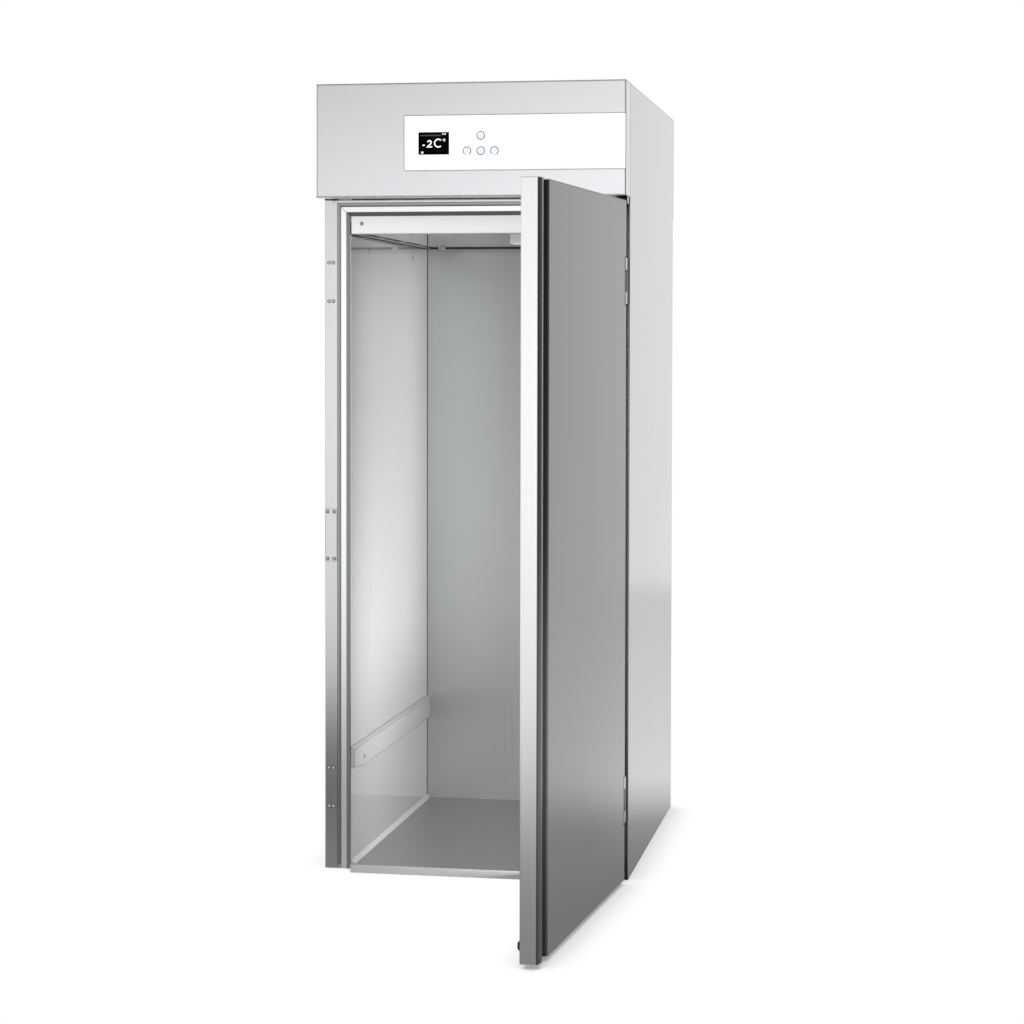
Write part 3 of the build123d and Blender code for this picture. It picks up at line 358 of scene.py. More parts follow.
def shade_in_gaps(tree, shade, reach_mm, depth):
    """Painted shade: dims a colour where things hide the sky within the reach, fully where only 0.08 of it is
    left, and not at all from 0.5 on, which a flat wall keeps in its corner."""
    sky = add(tree, "ShaderNodeAmbientOcclusion", {"samples": 8}, Distance=reach_mm * 0.001)
    fall = add(tree, "ShaderNodeMapRange", {"interpolation_type": "SMOOTHSTEP"}, Value=sky.outputs["AO"],
               From_Min=0.08, From_Max=0.5, To_Min=1.0 - depth, To_Max=1.0)
    return dimmed(tree, shade, fall.outputs[0])


def painted_edge_line(tree, shade, width_mm, depth):
    """Painted reflection: a thin dark line along the sheet's edges, where the rounded normal leaves the flat
    one.
    """
    rounded = add(tree, "ShaderNodeBevel", {"samples": 6}, Radius=width_mm * 0.001)
    flat = add(tree, "ShaderNodeNewGeometry")
    agree = add(tree, "ShaderNodeVectorMath", {"operation": "DOT_PRODUCT"}, i0=rounded.outputs[0],
                i1=flat.outputs["Normal"])
    line = add(tree, "ShaderNodeMapRange", {"interpolation_type": "SMOOTHSTEP"}, Value=agree.outputs["Value"],
               From_Min=0.88, From_Max=0.992, To_Min=1.0 - depth, To_Max=1.0)
    return dimmed(tree, shade, line.outputs[0])


def step(tree, value, start, end, low, high):
    """A smooth step of a value, from low at start to high at end."""
    return add(tree, "ShaderNodeMapRange", {"interpolation_type": "SMOOTHSTEP"}, Value=value, From_Min=start,
               From_Max=end, To_Min=low, To_Max=high).outputs[0]


def above_false_ceiling(tree, place, shade):
    """The walls lie in the dark of the plenum above the air guide, which starts 1.799 m up."""
    height = add(tree, "ShaderNodeSeparateXYZ", Vector=place).outputs["Z"]
    return dimmed(tree, shade, step(tree, height, 1.7965, 1.7985, 1.0, 0.12))


def shade_behind_the_door(tree, place, shade):
    """Painted shade on the right post's front face, which lies in the narrow gap behind the door's hinged
    edge.
    """
    depth = add(tree, "ShaderNodeSeparateXYZ", Vector=place).outputs["Y"]
    sky = add(tree, "ShaderNodeAmbientOcclusion", {"samples": 8}, Distance=0.06).outputs["AO"]
    gap = add(tree, "ShaderNodeMath", {"operation": "MAXIMUM"},
              i0=step(tree, depth, -0.4898, -0.4890, 0.0, 1.0), i1=step(tree, sky, 0.5, 0.97, 0.06, 1.0))
    return dimmed(tree, shade, gap.outputs[0])


def grip_shade(tree, place, shade):
    """The grip's mouth and pocket, on the side of the profile that faces out of the door, are in shade."""
    outward = (math.sin(open_angle), -math.cos(open_angle), 0.0)
    normal = add(tree, "ShaderNodeTexCoord").outputs["Normal"]
    facing = add(tree, "ShaderNodeVectorMath", {"operation": "DOT_PRODUCT"}, i0=normal,
                 i1=outward).outputs["Value"]
    from_pin = add(tree, "ShaderNodeVectorMath", {"operation": "SUBTRACT"}, i0=place,
                   i1=(hinge_x, hinge_y, 0.0))
    level = add(tree, "ShaderNodeVectorMath", {"operation": "DOT_PRODUCT"}, i0=from_pin.outputs[0],
                i1=outward).outputs["Value"]
    outer = step(tree, facing, 0.25, 0.5, 1.0, 0.36)
    deep = step(tree, level, 0.002, 0.0065, 0.3, 1.0)
    both = add(tree, "ShaderNodeMath", {"operation": "MULTIPLY"}, i0=outer, i1=deep)
    end_face = step(tree, facing, 0.03, 0.1, 1.0, 0.0)
    factor = add(tree, "ShaderNodeMath", {"operation": "MAXIMUM"}, i0=both.outputs[0], i1=end_face)
    return dimmed(tree, shade, factor.outputs[0])


def brushed_steel(name, base, roughness, metallic=1.0, grain="Z", streak_mm=2.0, length_mm=300.0, wave=0.006,
                  scratch=0.006, gap_mm=0.0, edge_mm=0.0, local=None):
    """Sheet steel. The streaks are noise stretched along the grain, from sizes in real millimetres. A cut or
    folded edge mirrors the dark parts of the room, so edge_mm paints a dark line of that width along it, a
    painted reflection. gap_mm paints shade into narrow gaps, and local adds painted shade only this part has."""
    material, tree, place = new_material(name)
    across, along = 1000.0 / streak_mm, 1000.0 / length_mm
    scale = {"X": (along, across, across), "Y": (across, along, across), "Z": (across, across, along)}[grain]
    stretched = add(tree, "ShaderNodeMapping", Vector=place, Scale=scale)
    streaks = add(tree, "ShaderNodeTexNoise", Vector=stretched.outputs[0], Scale=1.0, Detail=3.0,
                  Roughness=0.6)
    clouds = add(tree, "ShaderNodeTexNoise", Vector=place, Scale=2.6, Detail=2.0, Roughness=0.5)
    tone = add(tree, "ShaderNodeMapRange", Value=streaks.outputs["Fac"], From_Min=0.3, From_Max=0.7,
               To_Min=0.0, To_Max=1.0)
    light = colour(base)
    dark = tuple(c * 0.97 for c in light[:3]) + (1.0,)
    mixed = add(tree, "ShaderNodeMix", {"data_type": "RGBA"}, i0=tone.outputs[0], i6=dark, i7=light)
    shade = mixed.outputs[2]
    if gap_mm:
        shade = shade_in_gaps(tree, shade, gap_mm, 0.9)
    if edge_mm:
        shade = painted_edge_line(tree, shade, edge_mm, 0.92)
    if local:
        shade = local(tree, place, shade)
    both = add(tree, "ShaderNodeMath", {"operation": "MULTIPLY_ADD"}, i0=clouds.outputs["Fac"], i1=0.5,
               i2=streaks.outputs["Fac"])
    blur = add(tree, "ShaderNodeMapRange", Value=both.outputs[0], From_Min=0.5, From_Max=1.0,
               To_Min=roughness * 0.94, To_Max=roughness * 1.06)
    wide = add(tree, "ShaderNodeBump", Height=clouds.outputs["Fac"], Strength=wave, Distance=0.02)
    fine = add(tree, "ShaderNodeBump", Height=streaks.outputs["Fac"], Strength=scratch, Distance=0.0004,
               Normal=wide.outputs[0])
    shader = add(tree, "ShaderNodeBsdfPrincipled", Base_Color=shade, Metallic=metallic,
                 Roughness=blur.outputs[0], Normal=fine.outputs[0])
    add(tree, "ShaderNodeOutputMaterial", Surface=shader.outputs[0])
    return material


steel = {
    "shell": brushed_steel("brushed_stainless_shell", "#D9DADC", 0.2, gap_mm=60.0, edge_mm=3.0),
    "hinge_side": brushed_steel("brushed_stainless_hinge_side", "#D4D5D7", 0.2, edge_mm=5.0,
                                local=shade_behind_the_door),
    "header": brushed_steel("brushed_stainless_header", "#E1E2E4", 0.18, grain="X", gap_mm=20.0, edge_mm=6.0),
    "door": brushed_steel("brushed_stainless_door", "#D9DBDA", 0.24, gap_mm=30.0, edge_mm=2.0),
    "handle": brushed_steel("anodised_handle_profile", "#F0F0F1", 0.24, gap_mm=30.0, local=grip_shade),
    # Painted light: the side liners' near-white colour brightens the chamber's liner steel.
    "side_liner": brushed_steel("bright_annealed_side_liner_in_painted_light", "#FAFAFC", 0.05, metallic=0.8, wave=0.003,
                                scratch=0.001, local=above_false_ceiling),
    # Painted shade: the rear liner's grey colour darkens the same liner steel; its satin finish is real.
    "rear_liner": brushed_steel("satin_rear_liner_in_painted_shade", "#939594", 0.3, metallic=0.7, wave=0.01, scratch=0.001,
                                local=above_false_ceiling),
    # Painted shade: the ceiling's grey colour darkens the same bright liner steel.
    "ceiling": brushed_steel("bright_ceiling_liner_in_painted_shade", "#97989A", 0.06, wave=0.003, grain="X", scratch=0.001,
                             edge_mm=3.0),
    "floor": brushed_steel("satin_floor_plate", "#BDBDBC", 0.42, grain="Y"),
    "rail": brushed_steel("matt_bumper_rail", "#B6B6B8", 0.45, metallic=0.5, grain="Y", wave=0.0, gap_mm=8.0,
                          edge_mm=3.0),
    "cover": brushed_steel("satin_lintel_cover", "#F2F2F3", 0.4, metallic=0.25, grain="X", wave=0.0,
                           gap_mm=8.0, edge_mm=3.0),
    "trim": brushed_steel("satin_trim", "#BABABC", 0.40, metallic=0.4, wave=0.0),
    "bright": brushed_steel("polished_screw_steel", "#D6D6D6", 0.22, streak_mm=1.0, length_mm=4.0, wave=0.0,
                            gap_mm=6.0),
}
print("steels:", sorted(steel))

# %% [markdown]
# ## Galvanised sheet, aluminium fins and copper
# The unit's covers are hot-dip galvanised: the zinc freezes in crystals 8 to 20 mm wide, called spangle,
# each with its own brightness. Voronoi cells have the same look, with one random value for each cell.

# %% Other metals


def galvanised_sheet(name, base, spangle_mm=12.0):
    material, tree, place = new_material(name)
    cells = add(tree, "ShaderNodeTexVoronoi", Vector=place, Scale=1000.0 / spangle_mm)
    value = add(tree, "ShaderNodeSeparateColor", Color=cells.outputs["Color"])
    light = colour(base)
    dark = tuple(c * 0.82 for c in light[:3]) + (1.0,)
    shade = add(tree, "ShaderNodeMix", {"data_type": "RGBA"}, i0=value.outputs[0], i6=dark, i7=light)
    blur = add(tree, "ShaderNodeMapRange", Value=value.outputs[1], To_Min=0.34, To_Max=0.5)
    shader = add(tree, "ShaderNodeBsdfPrincipled", Base_Color=shade.outputs[2], Metallic=1.0,
                 Roughness=blur.outputs[0])
    add(tree, "ShaderNodeOutputMaterial", Surface=shader.outputs[0])
    return material


def plain_metal(name, base, roughness, patch_mm=30.0, tarnish=0.85):
    """A drawn or rolled metal whose tone drifts a little from place to place."""
    material, tree, place = new_material(name)
    patches = add(tree, "ShaderNodeTexNoise", Vector=place, Scale=1000.0 / patch_mm, Detail=3.0)
    light = colour(base)
    dark = tuple(c * tarnish for c in light[:3]) + (1.0,)
    shade = add(tree, "ShaderNodeMix", {"data_type": "RGBA"}, i0=patches.outputs["Fac"], i6=dark, i7=light)
    blur = add(tree, "ShaderNodeMapRange", Value=patches.outputs["Fac"], To_Min=roughness * 0.8,
               To_Max=roughness * 1.2)
    shader = add(tree, "ShaderNodeBsdfPrincipled", Base_Color=shade.outputs[2], Metallic=1.0,
                 Roughness=blur.outputs[0])
    add(tree, "ShaderNodeOutputMaterial", Surface=shader.outputs[0])
    return material


zinc = galvanised_sheet("galvanised_steel_sheet", "#C9CCCE")
fin_aluminium = plain_metal("rolled_aluminium_fins", "#D9DBDD", 0.35)
copper = plain_metal("drawn_copper_tube", "#D18B5E", 0.28, tarnish=0.7)
print("metals:", zinc.name, fin_aluminium.name, copper.name)

# %% [markdown]
# ## Plastics, rubber, foam and paint
# Moulded plastic has a spark-eroded texture of about 0.3 mm, drawn at 1.5 mm here. The insulation is
# polyurethane foam with visible cells. The compressor and its fan shroud are black stove enamel.

# %% Plastics and paint


def moulded(name, base, roughness, grain_mm=1.5, bump=0.05, mottle=0.96, coat=0.0, metallic=0.0,
            specular=0.5):
    """Plastic, rubber or enamel: a fine pebbled bump with a slight drift of the colour."""
    material, tree, place = new_material(name)
    pebbles = add(tree, "ShaderNodeTexNoise", Vector=place, Scale=1000.0 / grain_mm, Detail=2.0)
    drift = add(tree, "ShaderNodeTexNoise", Vector=place, Scale=14.0, Detail=2.0)
    light = colour(base)
    dark = tuple(c * mottle for c in light[:3]) + (1.0,)
    shade = add(tree, "ShaderNodeMix", {"data_type": "RGBA"}, i0=drift.outputs["Fac"], i6=dark, i7=light)
    blur = add(tree, "ShaderNodeMapRange", Value=pebbles.outputs["Fac"], To_Min=max(0.0, roughness - 0.05),
               To_Max=roughness + 0.05)
    relief = add(tree, "ShaderNodeBump", Height=pebbles.outputs["Fac"], Strength=bump, Distance=0.0005)
    shader = add(tree, "ShaderNodeBsdfPrincipled", Base_Color=shade.outputs[2], Roughness=blur.outputs[0],
                 Normal=relief.outputs[0], IOR=1.5, Coat_Weight=coat, Metallic=metallic,
                 Specular_IOR_Level=specular)
    add(tree, "ShaderNodeOutputMaterial", Surface=shader.outputs[0])
    return material


def foam_cells(name, base, cell_mm=2.5):
    """Cut foam: pale cell walls round darker hollows. Between two sheets it lies in their shade."""
    material, tree, place = new_material(name)
    cells = add(tree, "ShaderNodeTexVoronoi", Vector=place, Scale=1000.0 / cell_mm)
    light = colour(base)
    dark = tuple(c * 0.75 for c in light[:3]) + (1.0,)
    shade = add(tree, "ShaderNodeMix", {"data_type": "RGBA"}, i0=cells.outputs["Distance"], i6=light, i7=dark)
    hidden = shade_in_gaps(tree, shade.outputs[2], 30.0, 0.95)
    relief = add(tree, "ShaderNodeBump", Height=cells.outputs["Distance"], Strength=0.4, Distance=0.001)
    shader = add(tree, "ShaderNodeBsdfPrincipled", Base_Color=hidden, Roughness=0.85,
                 Normal=relief.outputs[0])
    add(tree, "ShaderNodeOutputMaterial", Surface=shader.outputs[0])
    return material


def profile_with_painted_shade(name, crown, flats, crown_front, roughness):
    """The frame's satin metallised PVC, bright on its proud crown, with painted shade on the flats behind."""
    material, tree, place = new_material(name)
    parts = add(tree, "ShaderNodeSeparateXYZ", Vector=place)
    drift = add(tree, "ShaderNodeTexNoise", Vector=place, Scale=14.0, Detail=2.0)
    behind = add(tree, "ShaderNodeMapRange", {"interpolation_type": "SMOOTHSTEP"}, Value=parts.outputs["Y"],
                 From_Min=crown_front, From_Max=crown_front + 0.0008, To_Min=0.0, To_Max=1.0)
    shade = add(tree, "ShaderNodeMix", {"data_type": "RGBA"}, i0=behind.outputs[0], i6=colour(crown),
                i7=colour(flats))
    faint = add(tree, "ShaderNodeMix", {"data_type": "RGBA", "blend_type": "MULTIPLY"}, i0=0.04,
                i6=shade.outputs[2], i7=drift.outputs["Color"])
    shader = add(tree, "ShaderNodeBsdfPrincipled", Base_Color=shade_in_gaps(tree, faint.outputs[2], 8.0, 0.7),
                 Roughness=roughness, Metallic=0.9, IOR=1.5)
    add(tree, "ShaderNodeOutputMaterial", Surface=shader.outputs[0])
    return material


frame_pvc = profile_with_painted_shade("frame_profile_pvc", "#FFFFFF", "#9EA0A2", -0.4933, 0.28)
cap_plastic = moulded("grey_abs_caps", "#A8AAAB", 0.45)
hole_cap_plastic = moulded("grey_hole_caps", "#B9BABB", 0.4)
gasket_rubber = moulded("grey_gasket_rubber", "#A9AAAC", 0.6, grain_mm=1.0)
# Painted shade: the beads' grey silicone is drawn near-black, for the shade in the chamber's corners.
silicone_in_painted_shade = moulded("grey_silicone_painted_dark_as_shade", "#2C2C2D", 0.5, grain_mm=3.0, specular=0.2)
# Painted shade: one near-black for the screw recesses and the rings round heads and caps; it also draws the
# dark mitre joints.
shade_and_joint_black = moulded("black_for_painted_shade_and_joints", "#161617", 0.6, specular=0.1)
sweep_rubber = moulded("black_sweep_rubber", "#1B1B1C", 0.6, grain_mm=1.0)
white_panel = moulded("white_control_panel", "#FAFAFB", 0.35, bump=0.01, mottle=0.99)
key_plastic = moulded("white_key_caps", "#F6F8FA", 0.3, bump=0.01, mottle=0.99)
display_glass = moulded("black_display_glass", "#010102", 0.12, bump=0.0, mottle=0.9, specular=0.02)
lamp_plastic = moulded("opal_lamp_cover", "#F5F5F3", 0.35, bump=0.01, mottle=0.98)
unit_foam_plastic = moulded("grey_evaporator_case", "#B5B7B8", 0.6)
tray_plastic = moulded("grey_drip_tray", "#8F9294", 0.5)
black_enamel = moulded("black_stove_enamel", "#161617", 0.35, coat=0.3)
black_nylon = moulded("black_nylon", "#1A1A1B", 0.5)
pu_foam = foam_cells("polyurethane_foam", "#E8D9A8")
# Painted shade: the foam seen through the keyholes is the same foam, drawn dark brown for the shade it lies
# in.
shaded_foam = foam_cells("foam_behind_keyholes_in_painted_shade", "#2B2820")
print("plastics made")

# %% [markdown]
# ## Who wears what
# Each CAD node keeps its own mesh and only gets a finish. The table lists every node once.

# %% Finishes for the CAD nodes
finishes = {
    steel["shell"]: "side_skin_left rear_skin strike_plate hinge_brackets header_tab lintel_strip",
    steel["hinge_side"]: "side_skin_right",
    steel["header"]: "header_panel",
    steel["door"]: "door_outer_skin door_liner hinge_leaves",
    steel["handle"]: "door_handle_profile",
    steel["side_liner"]: "liner_left liner_right",
    steel["rear_liner"]: "liner_rear",
    steel["ceiling"]: "liner_ceiling air_guide",
    steel["floor"]: "floor_panel",
    steel["rail"]: "bumper_rails",
    steel["cover"]: "lintel_cover",
    steel["trim"]: "floor_skirting entry_ramp air_guide_rails",
    steel["bright"]: "frame_screws hinge_pins",
    zinc: "post_bars unit_base top_cover rear_grille electrical_box",
    fin_aluminium: "condenser evaporator_coil",
    copper: "refrigerant_pipes filter_drier",
    frame_pvc: "frame_breaker",
    cap_plastic: "door_end_caps temperature_probe",
    hole_cap_plastic: "hole_plugs",
    gasket_rubber: "door_gasket",
    sweep_rubber: "door_sweep",
    white_panel: "control_strip",
    key_plastic: "key_up key_left key_middle key_right",
    display_glass: "display_window",
    lamp_plastic: "interior_lamp lamp_diffuser",
    unit_foam_plastic: "evaporator_case",
    tray_plastic: "condensate_tray",
    black_enamel: "compressor fan_shroud",
    black_nylon: "condenser_fan evaporator_fan mains_inlet",
    pu_foam: "foam_rear foam_top door_foam",
    shaded_foam: "foam_left foam_right",
}
dressed = []
for material, names in finishes.items():
    for name in names.split():
        nodes[name].data.materials.clear()
        nodes[name].data.materials.append(material)
        dressed.append(name)
assert sorted(dressed) == sorted(nodes), set(nodes) ^ set(dressed)
print("dressed", len(dressed), "nodes")

# %% [markdown]
# ## Two ways to make a small solid
# Every new piece is a loft: a row of outlines with the same number of points, joined by quads. A gasket is
# an outline carried round a frame, a bead is one carried along a corner, and a flat mark such as a digit is
# a narrow rectangle carried along a pen stroke. Open lofts get a face on each end, so all are closed.

# %% Lofts and strokes


def loft(sections, closed=False):
    """Joins outline i to outline i + 1. sections is an array (outlines, points, 3). The result is its
    points and faces."""
    count, around = sections.shape[:2]
    number = np.arange(count * around).reshape(count, around)
    first = number if closed else number[:-1]
    second = np.roll(number, -1, axis=0) if closed else number[1:]
    quads = np.stack([first, np.roll(first, -1, axis=1), np.roll(second, -1, axis=1), second], axis=-1)
    faces = quads.reshape(-1, 4).tolist()
    if not closed:
        faces += [number[0].tolist(), number[-1][::-1].tolist()]
    return sections.reshape(-1, 3), faces


def solid_mesh(name, parts, smooth=False):
    """Joins lofts into one mesh, and turns every face outwards."""
    points, faces, start = [], [], 0
    for part_points, part_faces in parts:
        points.append(part_points)
        faces += [[index + start for index in face] for face in part_faces]
        start += len(part_points)
    mesh = bpy.data.meshes.new(name)
    mesh.from_pydata(np.concatenate(points).tolist(), [], faces)
    work = bmesh.new()
    work.from_mesh(mesh)
    bmesh.ops.recalc_face_normals(work, faces=work.faces)
    work.to_mesh(mesh)
    work.free()
    mesh.polygons.foreach_set("use_smooth", [smooth] * len(mesh.polygons))
    mesh.update()
    return mesh


def add_piece(name, mesh, material, body):
    """Puts a mesh into the scene as a piece of the object that rides on one body."""
    piece = bpy.data.objects.new(name, mesh)
    bpy.context.scene.collection.objects.link(piece)
    mesh.materials.clear()
    mesh.materials.append(material)
    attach(piece, body)
    return piece


def stroke(path, width, closed=False):
    """A pen stroke on a plate that faces the front, in mm. Each point of the path is moved half the width to
    both sides, along the bisector of its two neighbours, and the stroke is 0.1 mm thick, from y 0 to -0.1."""
    path = np.asarray(path, dtype=float)
    ahead = np.roll(path, -1, axis=0) - path
    if not closed:
        ahead[-1] = ahead[-2]
    ahead /= np.linalg.norm(ahead, axis=1, keepdims=True)
    behind = np.roll(ahead, 1, axis=0)
    if not closed:
        behind[0] = ahead[0]
    side_a, side_b = ([[0, 1], [-1, 0]] @ ahead.T).T, ([[0, 1], [-1, 0]] @ behind.T).T
    bisector = side_a + side_b
    bisector /= np.sum(bisector * side_a, axis=1, keepdims=True)
    left, right = path + bisector * width / 2, path - bisector * width / 2
    rims = [np.stack([rim[:, 0], np.full(len(rim), y), rim[:, 1]], axis=-1)
            for rim, y in ((left, 0.0), (left, -0.1), (right, -0.1), (right, 0.0))]
    return loft(np.stack(rims, axis=1), closed)


def arc(centre, radius, start, end, steps=24):
    """Points on a circle, from one clock angle to another in degrees: 0 is up, 90 is right."""
    turn = np.radians(np.linspace(start, end, steps))
    return np.stack([centre[0] + radius * np.sin(turn), centre[1] + radius * np.cos(turn)], axis=-1)


def marks_mesh(name, strokes, left, top, y):
    """Strokes in mm right of and above the corner (left, top), moved to their place in metres."""
    placed = [(points * 0.001 + np.array([left, y, top]), faces) for points, faces in strokes]
    return solid_mesh(name, placed)


print("helpers ready")

# %% [markdown]
# ## The display
# The controller shows the chamber's temperature in white on black: a minus, a 2, a round C and the degree
# sign. A pen stroke about 4 mm wide draws them. Below is a small frost star, above a dim bar and three ticks.

# %% Display marks


def lit_material(name, base, glow):
    """A lit segment behind glass: its colour is also what it sends out."""
    material, tree, place = new_material(name)
    fine = add(tree, "ShaderNodeTexNoise", Vector=place, Scale=900.0)
    light = colour(base)
    dark = tuple(c * 0.94 for c in light[:3]) + (1.0,)
    shade = add(tree, "ShaderNodeMix", {"data_type": "RGBA"}, i0=fine.outputs["Fac"], i6=dark, i7=light)
    shader = add(tree, "ShaderNodeBsdfPrincipled", Base_Color=shade.outputs[2], Roughness=0.4,
                 Emission_Color=shade.outputs[2], Emission_Strength=glow)
    add(tree, "ShaderNodeOutputMaterial", Surface=shader.outputs[0])
    return material


digit_white = lit_material("display_white_segments", "#F0F2F4", 0.2)
dim_grey = lit_material("display_dim_bar", "#2E2F31", 0.1)
glass_low, glass_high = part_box("display_window")
glass_corner = (glass_low[0], glass_high[2], glass_low[1])
two = np.concatenate([arc((31.0, -28.3), 4.9, -78, 118, 18), [(25.9, -40.2), (38.8, -40.2)]])
letter_c = arc((56.2, -30.2), 10.6, 42, -222, 30)
digits = [stroke([(11.2, -35.7), (18.0, -35.7)], 3.4), stroke(two, 3.8), stroke(letter_c, 3.8),
          stroke(arc((72.4, -21.8), 2.6, 0, 345, 20), 1.8, closed=True)]
star_arms = [4.2 * np.array([math.sin(a), math.cos(a)]) for a in np.radians([0, 60, 120])]
star = [stroke([(10.8, -56.0) - arm, (10.8, -56.0) + arm], 1.5) for arm in star_arms]
ticks = [stroke([(x, -7.4), (x, -3.2)], 2.2) for x in (68.4, 72.4, 76.4)]
for name, strokes in (("display_digits", digits), ("display_star", star), ("display_ticks", ticks)):
    add_piece(name, marks_mesh(name, strokes, *glass_corner), digit_white, "cabinet")
add_piece("display_bar", marks_mesh("display_bar", [stroke([(5.0, -8.9), (64.0, -8.9)], 3.6)], *glass_corner),
          dim_grey, "cabinet")
print("display at", [round(v, 4) for v in glass_corner])

# %% [markdown]
# ## The key marks
# Each key is a white cap with a grey-blue ring printed near its rim and a pale blue mark inside: up, right,
# down and standby. The rings of the outer two are open at the bottom, with a short pale mark in the gap.

# %% Key marks
ring_blue = moulded("grey_blue_key_print", "#5A7385", 0.45, bump=0.01)
pale_blue = moulded("pale_blue_key_print", "#C3DAF0", 0.45, bump=0.01)
ring_line, icon_line, ring_middle = 2.3, 1.5, 10.4


def triangle(toward):
    """A small closed triangle that points along a clock angle."""
    return stroke(arc((0.0, 0.0), 4.2, toward, toward + 240, 3), icon_line, closed=True)


standby = [stroke(arc((0.0, -0.3), 3.9, 40, 320, 16), icon_line), stroke([(0.0, 0.2), (0.0, 4.6)], icon_line)]
gap_mark = [stroke([(-2.6, -10.4), (2.6, -10.4)], ring_line)]
key_marks = {
    "key_up": (0, [triangle(0)]),
    "key_left": (35, [triangle(90)] + gap_mark),
    "key_middle": (0, [triangle(180)]),
    "key_right": (35, standby + gap_mark),
}
for key, (gap, marks) in key_marks.items():
    low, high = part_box(key)
    centre = ((low[0] + high[0]) / 2, (low[2] + high[2]) / 2, low[1])
    if gap:
        rim = stroke(arc((0.0, 0.0), ring_middle, 180 - gap - 360 + 2 * gap, 180 - gap, 48), ring_line)
    else:
        rim = stroke(arc((0.0, 0.0), ring_middle, 0, 352.5, 48), ring_line, closed=True)
    add_piece(key + "_ring", marks_mesh(key + "_ring", [rim], *centre), ring_blue, key)
    add_piece(key + "_mark", marks_mesh(key + "_mark", marks, *centre), pale_blue, key)
print("marked", sorted(key_marks))

# %% [markdown]
# ## The screw recesses
# The pan-head screws have a cross recess. At this size its shade shows only as a dark cross, so each is a
# thin dark cross of painted shade on the head's flat top. The strike plate has four, the two hinges eight,
# the lintel two, and each bumper rail has one near its front end.

# %% Screw recesses


def cross_outline(arm, half):
    """Twelve points round a cross with arms that are slightly narrower at their ends."""
    tip = half * 0.8
    quarter = np.array([(half, half), (tip, arm), (-tip, arm)])
    turns = [np.array([[0, 1], [-1, 0]]), np.array([[-1, 0], [0, -1]]), np.array([[0, -1], [1, 0]])]
    return np.concatenate([quarter] + [quarter @ turn.T for turn in turns])


def recess(place, facing):
    """A cross 0.1 mm thick. facing is the unit direction of the head; the cross lies square to it."""
    facing = np.array(facing, dtype=float)
    up = np.array([0.0, 0.0, 1.0])
    across = np.cross(up, facing)
    outline = cross_outline(2.1, 0.55) * 0.001
    flat = np.asarray(place) + outline[:, :1] * across + outline[:, 1:] * up
    return loft(np.stack([flat - 0.00005 * facing, flat + 0.00008 * facing]))


strike_face, hinge_face, lintel_face, rail_face = -0.4939, -0.4964, -0.4876, 0.3476
strike_places = [(x, z) for x in (-0.4268, -0.4077) for z in (0.8815, 1.0145)]
hinge_places = [(x, z) for x in (0.4104, 0.4228) for z in (0.1775, 0.2865, 1.6095, 1.7185)]
lintel_places = [(x, 1.828) for x in (-0.329, 0.329)]
rail_screw_y, rail_screw_z = -0.380, 0.301
front_way = (0, -1, 0)
recesses = [recess((x, strike_face, z), front_way) for x, z in strike_places]
recesses += [recess((x, hinge_face, z), front_way) for x, z in hinge_places]
recesses += [recess((x, lintel_face, z), front_way) for x, z in lintel_places]
recesses += [recess((side * rail_face, rail_screw_y, rail_screw_z), (-side, 0, 0)) for side in (-1, 1)]
add_piece("screw_recesses", solid_mesh("screw_recesses", recesses), shade_and_joint_black, "cabinet")
print("recesses:", len(recesses))

# %% [markdown]
# ## Shadow rings and mitres
# A thin black ring of painted shadow lies round each screw head and hole cap, where the shade falls.
# The frame's profile is cut at 45 degrees in its two corners, and the cut shows as a hairline.

# %% Shadow rings and mitre lines


def shadow_ring(place, facing, inner=3.7, outer=5.4):
    """A ring of painted shadow, 0.15 mm thick, on the plane through the place, square to facing; radii in mm.
    """
    facing = np.array(facing, dtype=float)
    up = np.array([0.0, 0.0, 1.0])
    turn = np.linspace(0, math.tau, 24, endpoint=False)[:, None]
    spoke = (np.cos(turn) * np.cross(up, facing) + np.sin(turn) * up) * 0.001
    lift = 0.00015 * facing
    return loft(np.stack([place + inner * spoke, place + outer * spoke, place + outer * spoke + lift,
                          place + inner * spoke + lift], axis=1), closed=True)


strike_plane, hinge_plane, post_plane, cover_plane, rail_plane = -0.4915, -0.494, -0.490, -0.4852, 0.350
shadow_rings = [shadow_ring((x, strike_plane, z), front_way) for x, z in strike_places]
shadow_rings += [shadow_ring((x, hinge_plane, z), front_way) for x, z in hinge_places]
shadow_rings += [shadow_ring((-x, post_plane, z), front_way, 3.5, 5.2) for x, z in hinge_places]
shadow_rings += [shadow_ring((x, cover_plane, z), front_way) for x, z in lintel_places]
shadow_rings += [shadow_ring((side * rail_plane, rail_screw_y, rail_screw_z), (-side, 0, 0)) for side in (-1, 1)]
frame_half_width, frame_top = 0.3975, 1.8855
add_piece("screw_shadow_rings", solid_mesh("screw_shadow_rings", shadow_rings), shade_and_joint_black, "cabinet")


def mitre_line(side, profile, half_width=0.45):
    """A strip along the 45 degree cut. The profile holds (distance from the outer edge, depth) in mm."""
    across, depth = np.asarray(profile, dtype=float).T * 0.001
    corner = np.stack([side * (frame_half_width - across), post_plane + depth, frame_top - across], axis=-1)
    wide = np.array([side, 0.0, -1.0]) * half_width * 0.001 / math.sqrt(2)
    near, far = np.array([0.0, -0.0002, 0.0]), np.array([0.0, -0.00005, 0.0])
    rims = [corner + wide + far, corner + wide + near, corner - wide + near, corner - wide + far]
    return loft(np.stack(rims, axis=1))


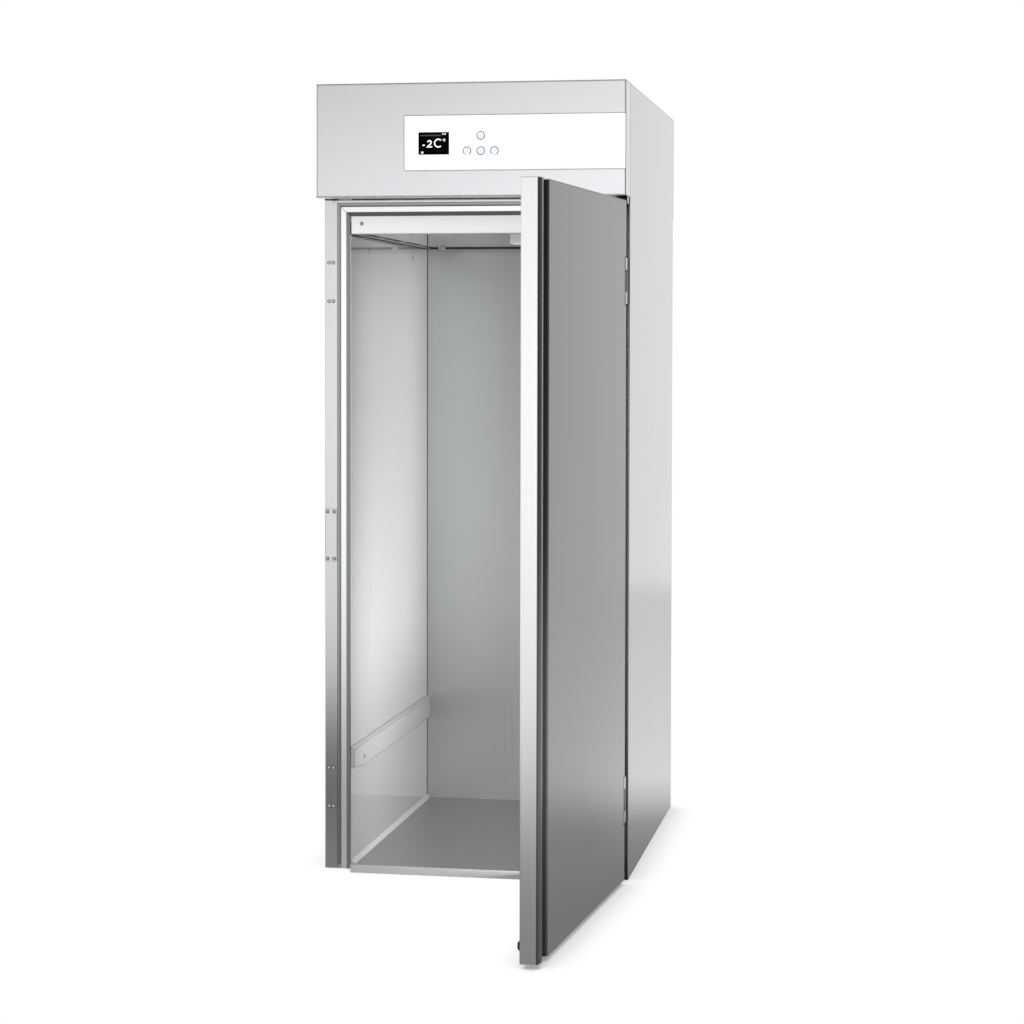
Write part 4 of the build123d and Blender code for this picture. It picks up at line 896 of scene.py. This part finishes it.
cuts = [mitre_line(side, profile) for side in (-1, 1)
        for profile in ([(0.3, -0.5), (5.7, -0.5)], [(8.2, 1.2), (11.0, -3.5), (25.0, -3.5), (35.2, 1.8)])]
add_piece("frame_mitre_lines", solid_mesh("frame_mitre_lines", cuts), shade_and_joint_black, "cabinet")
print("washers:", len(shadow_rings), "mitre lines:", len(cuts))

# %% [markdown]
# ## The door gasket
# A cold-room door closes on a hollow rubber gasket: a foot that snaps into the door, folded sides like a
# bellows, and a flat box on top that holds the magnet strip. The CAD frame has a plain stepped bar in its
# place. Here the real outline is carried up one side, over the top and down the other side, with mitred
# corners as on the welded original. The bottom has no gasket: the rubber sweep seals it.

# %% Door gasket
door_free_x, door_face_y = 0.431, -0.549


def door_points(across, depth, height):
    """Points of the door, in metres from its hinge edge, from its outer face and from the floor. They are
    placed on the closed door, then turned about the hinge pin to where the open door stands."""
    dx = door_free_x - across - hinge_x
    dy = depth + door_face_y - hinge_y
    x = hinge_x + dx * math.cos(open_angle) - dy * math.sin(open_angle)
    y = hinge_y + dx * math.sin(open_angle) + dy * math.cos(open_angle)
    return np.stack([x, y, height], axis=-1)


gasket_outline = np.array([
    (-12.0, 0.0), (-12.0, 1.2), (-10.0, 1.8), (-8.6, 1.8), (-7.4, 2.6), (-7.9, 3.6), (-6.7, 4.4), (-6.5, 6.4),
    (-5.6, 7.7), (-4.6, 8.0), (4.6, 8.0), (5.6, 7.7), (6.5, 6.4), (6.7, 4.4), (5.3, 3.6), (5.8, 2.6),
    (7.0, 1.8), (10.0, 1.6), (12.0, 1.0), (12.0, 0.0),
])
near, far, foot, top = 52.0, 810.0, 70.5, 1866.0
out, rise = gasket_outline[:, 0], gasket_outline[:, 1]
ends = np.full_like(out, foot)
along = [(near + out, ends), (near + out, top - out), (far - out, top - out), (far - out, ends)]
gasket_sections = np.stack([door_points(u * 0.001, 0.047 + rise * 0.001, z * 0.001) for u, z in along])
gasket = add_piece("door_gasket_bellows", solid_mesh("door_gasket_bellows", [loft(gasket_sections)]),
                   gasket_rubber, "door")
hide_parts("door_gasket")
print("gasket box:", [round(v, 3) for v in gasket_sections.reshape(-1, 3).min(0)])

# %% [markdown]
# ## Sealed corners
# The chamber's sheets meet in corners that are sealed with a bead of silicone, drawn hollow with a wetted
# finger. Each bead is a hollow quarter round, carried along its corner. Those under the ledges of the false
# ceiling are 3 mm on their legs, the two in the rear corners 1.6 mm.

# %% Corner beads
wall_x, rear_y, ledge_z, skirt_z, guide_front = 0.360, 0.445, 1.799, 0.023, -0.460
hollow = np.radians(np.linspace(0, 90, 7))
quarter = np.concatenate([[(0.0, 0.0)], np.stack([1 - np.sin(hollow), 1 - np.cos(hollow)], axis=-1)])


def bead(start, end, leg_a, leg_b, leg_mm):
    """The outline's two legs lie along the directions leg_a and leg_b, from start to end."""
    flat = (quarter[:, :1] * np.array(leg_a) + quarter[:, 1:] * np.array(leg_b)) * leg_mm * 0.001
    return loft(np.stack([np.array(start) + flat, np.array(end) + flat]))


beads = []
for side in (-1, 1):
    wall = side * wall_x
    inwards = (-side, 0, 0)
    beads.append(bead((wall, rear_y, skirt_z), (wall, rear_y, ledge_z), inwards, (0, -1, 0), 1.6))
    beads.append(bead((wall, guide_front, ledge_z), (wall, rear_y, ledge_z), inwards, (0, 0, -1), 3.0))
# The beads are real silicone; their near-black colour is painted shade.
add_piece("corner_beads", solid_mesh("corner_beads", beads), silicone_in_painted_shade, "cabinet")
print("beads:", len(beads))
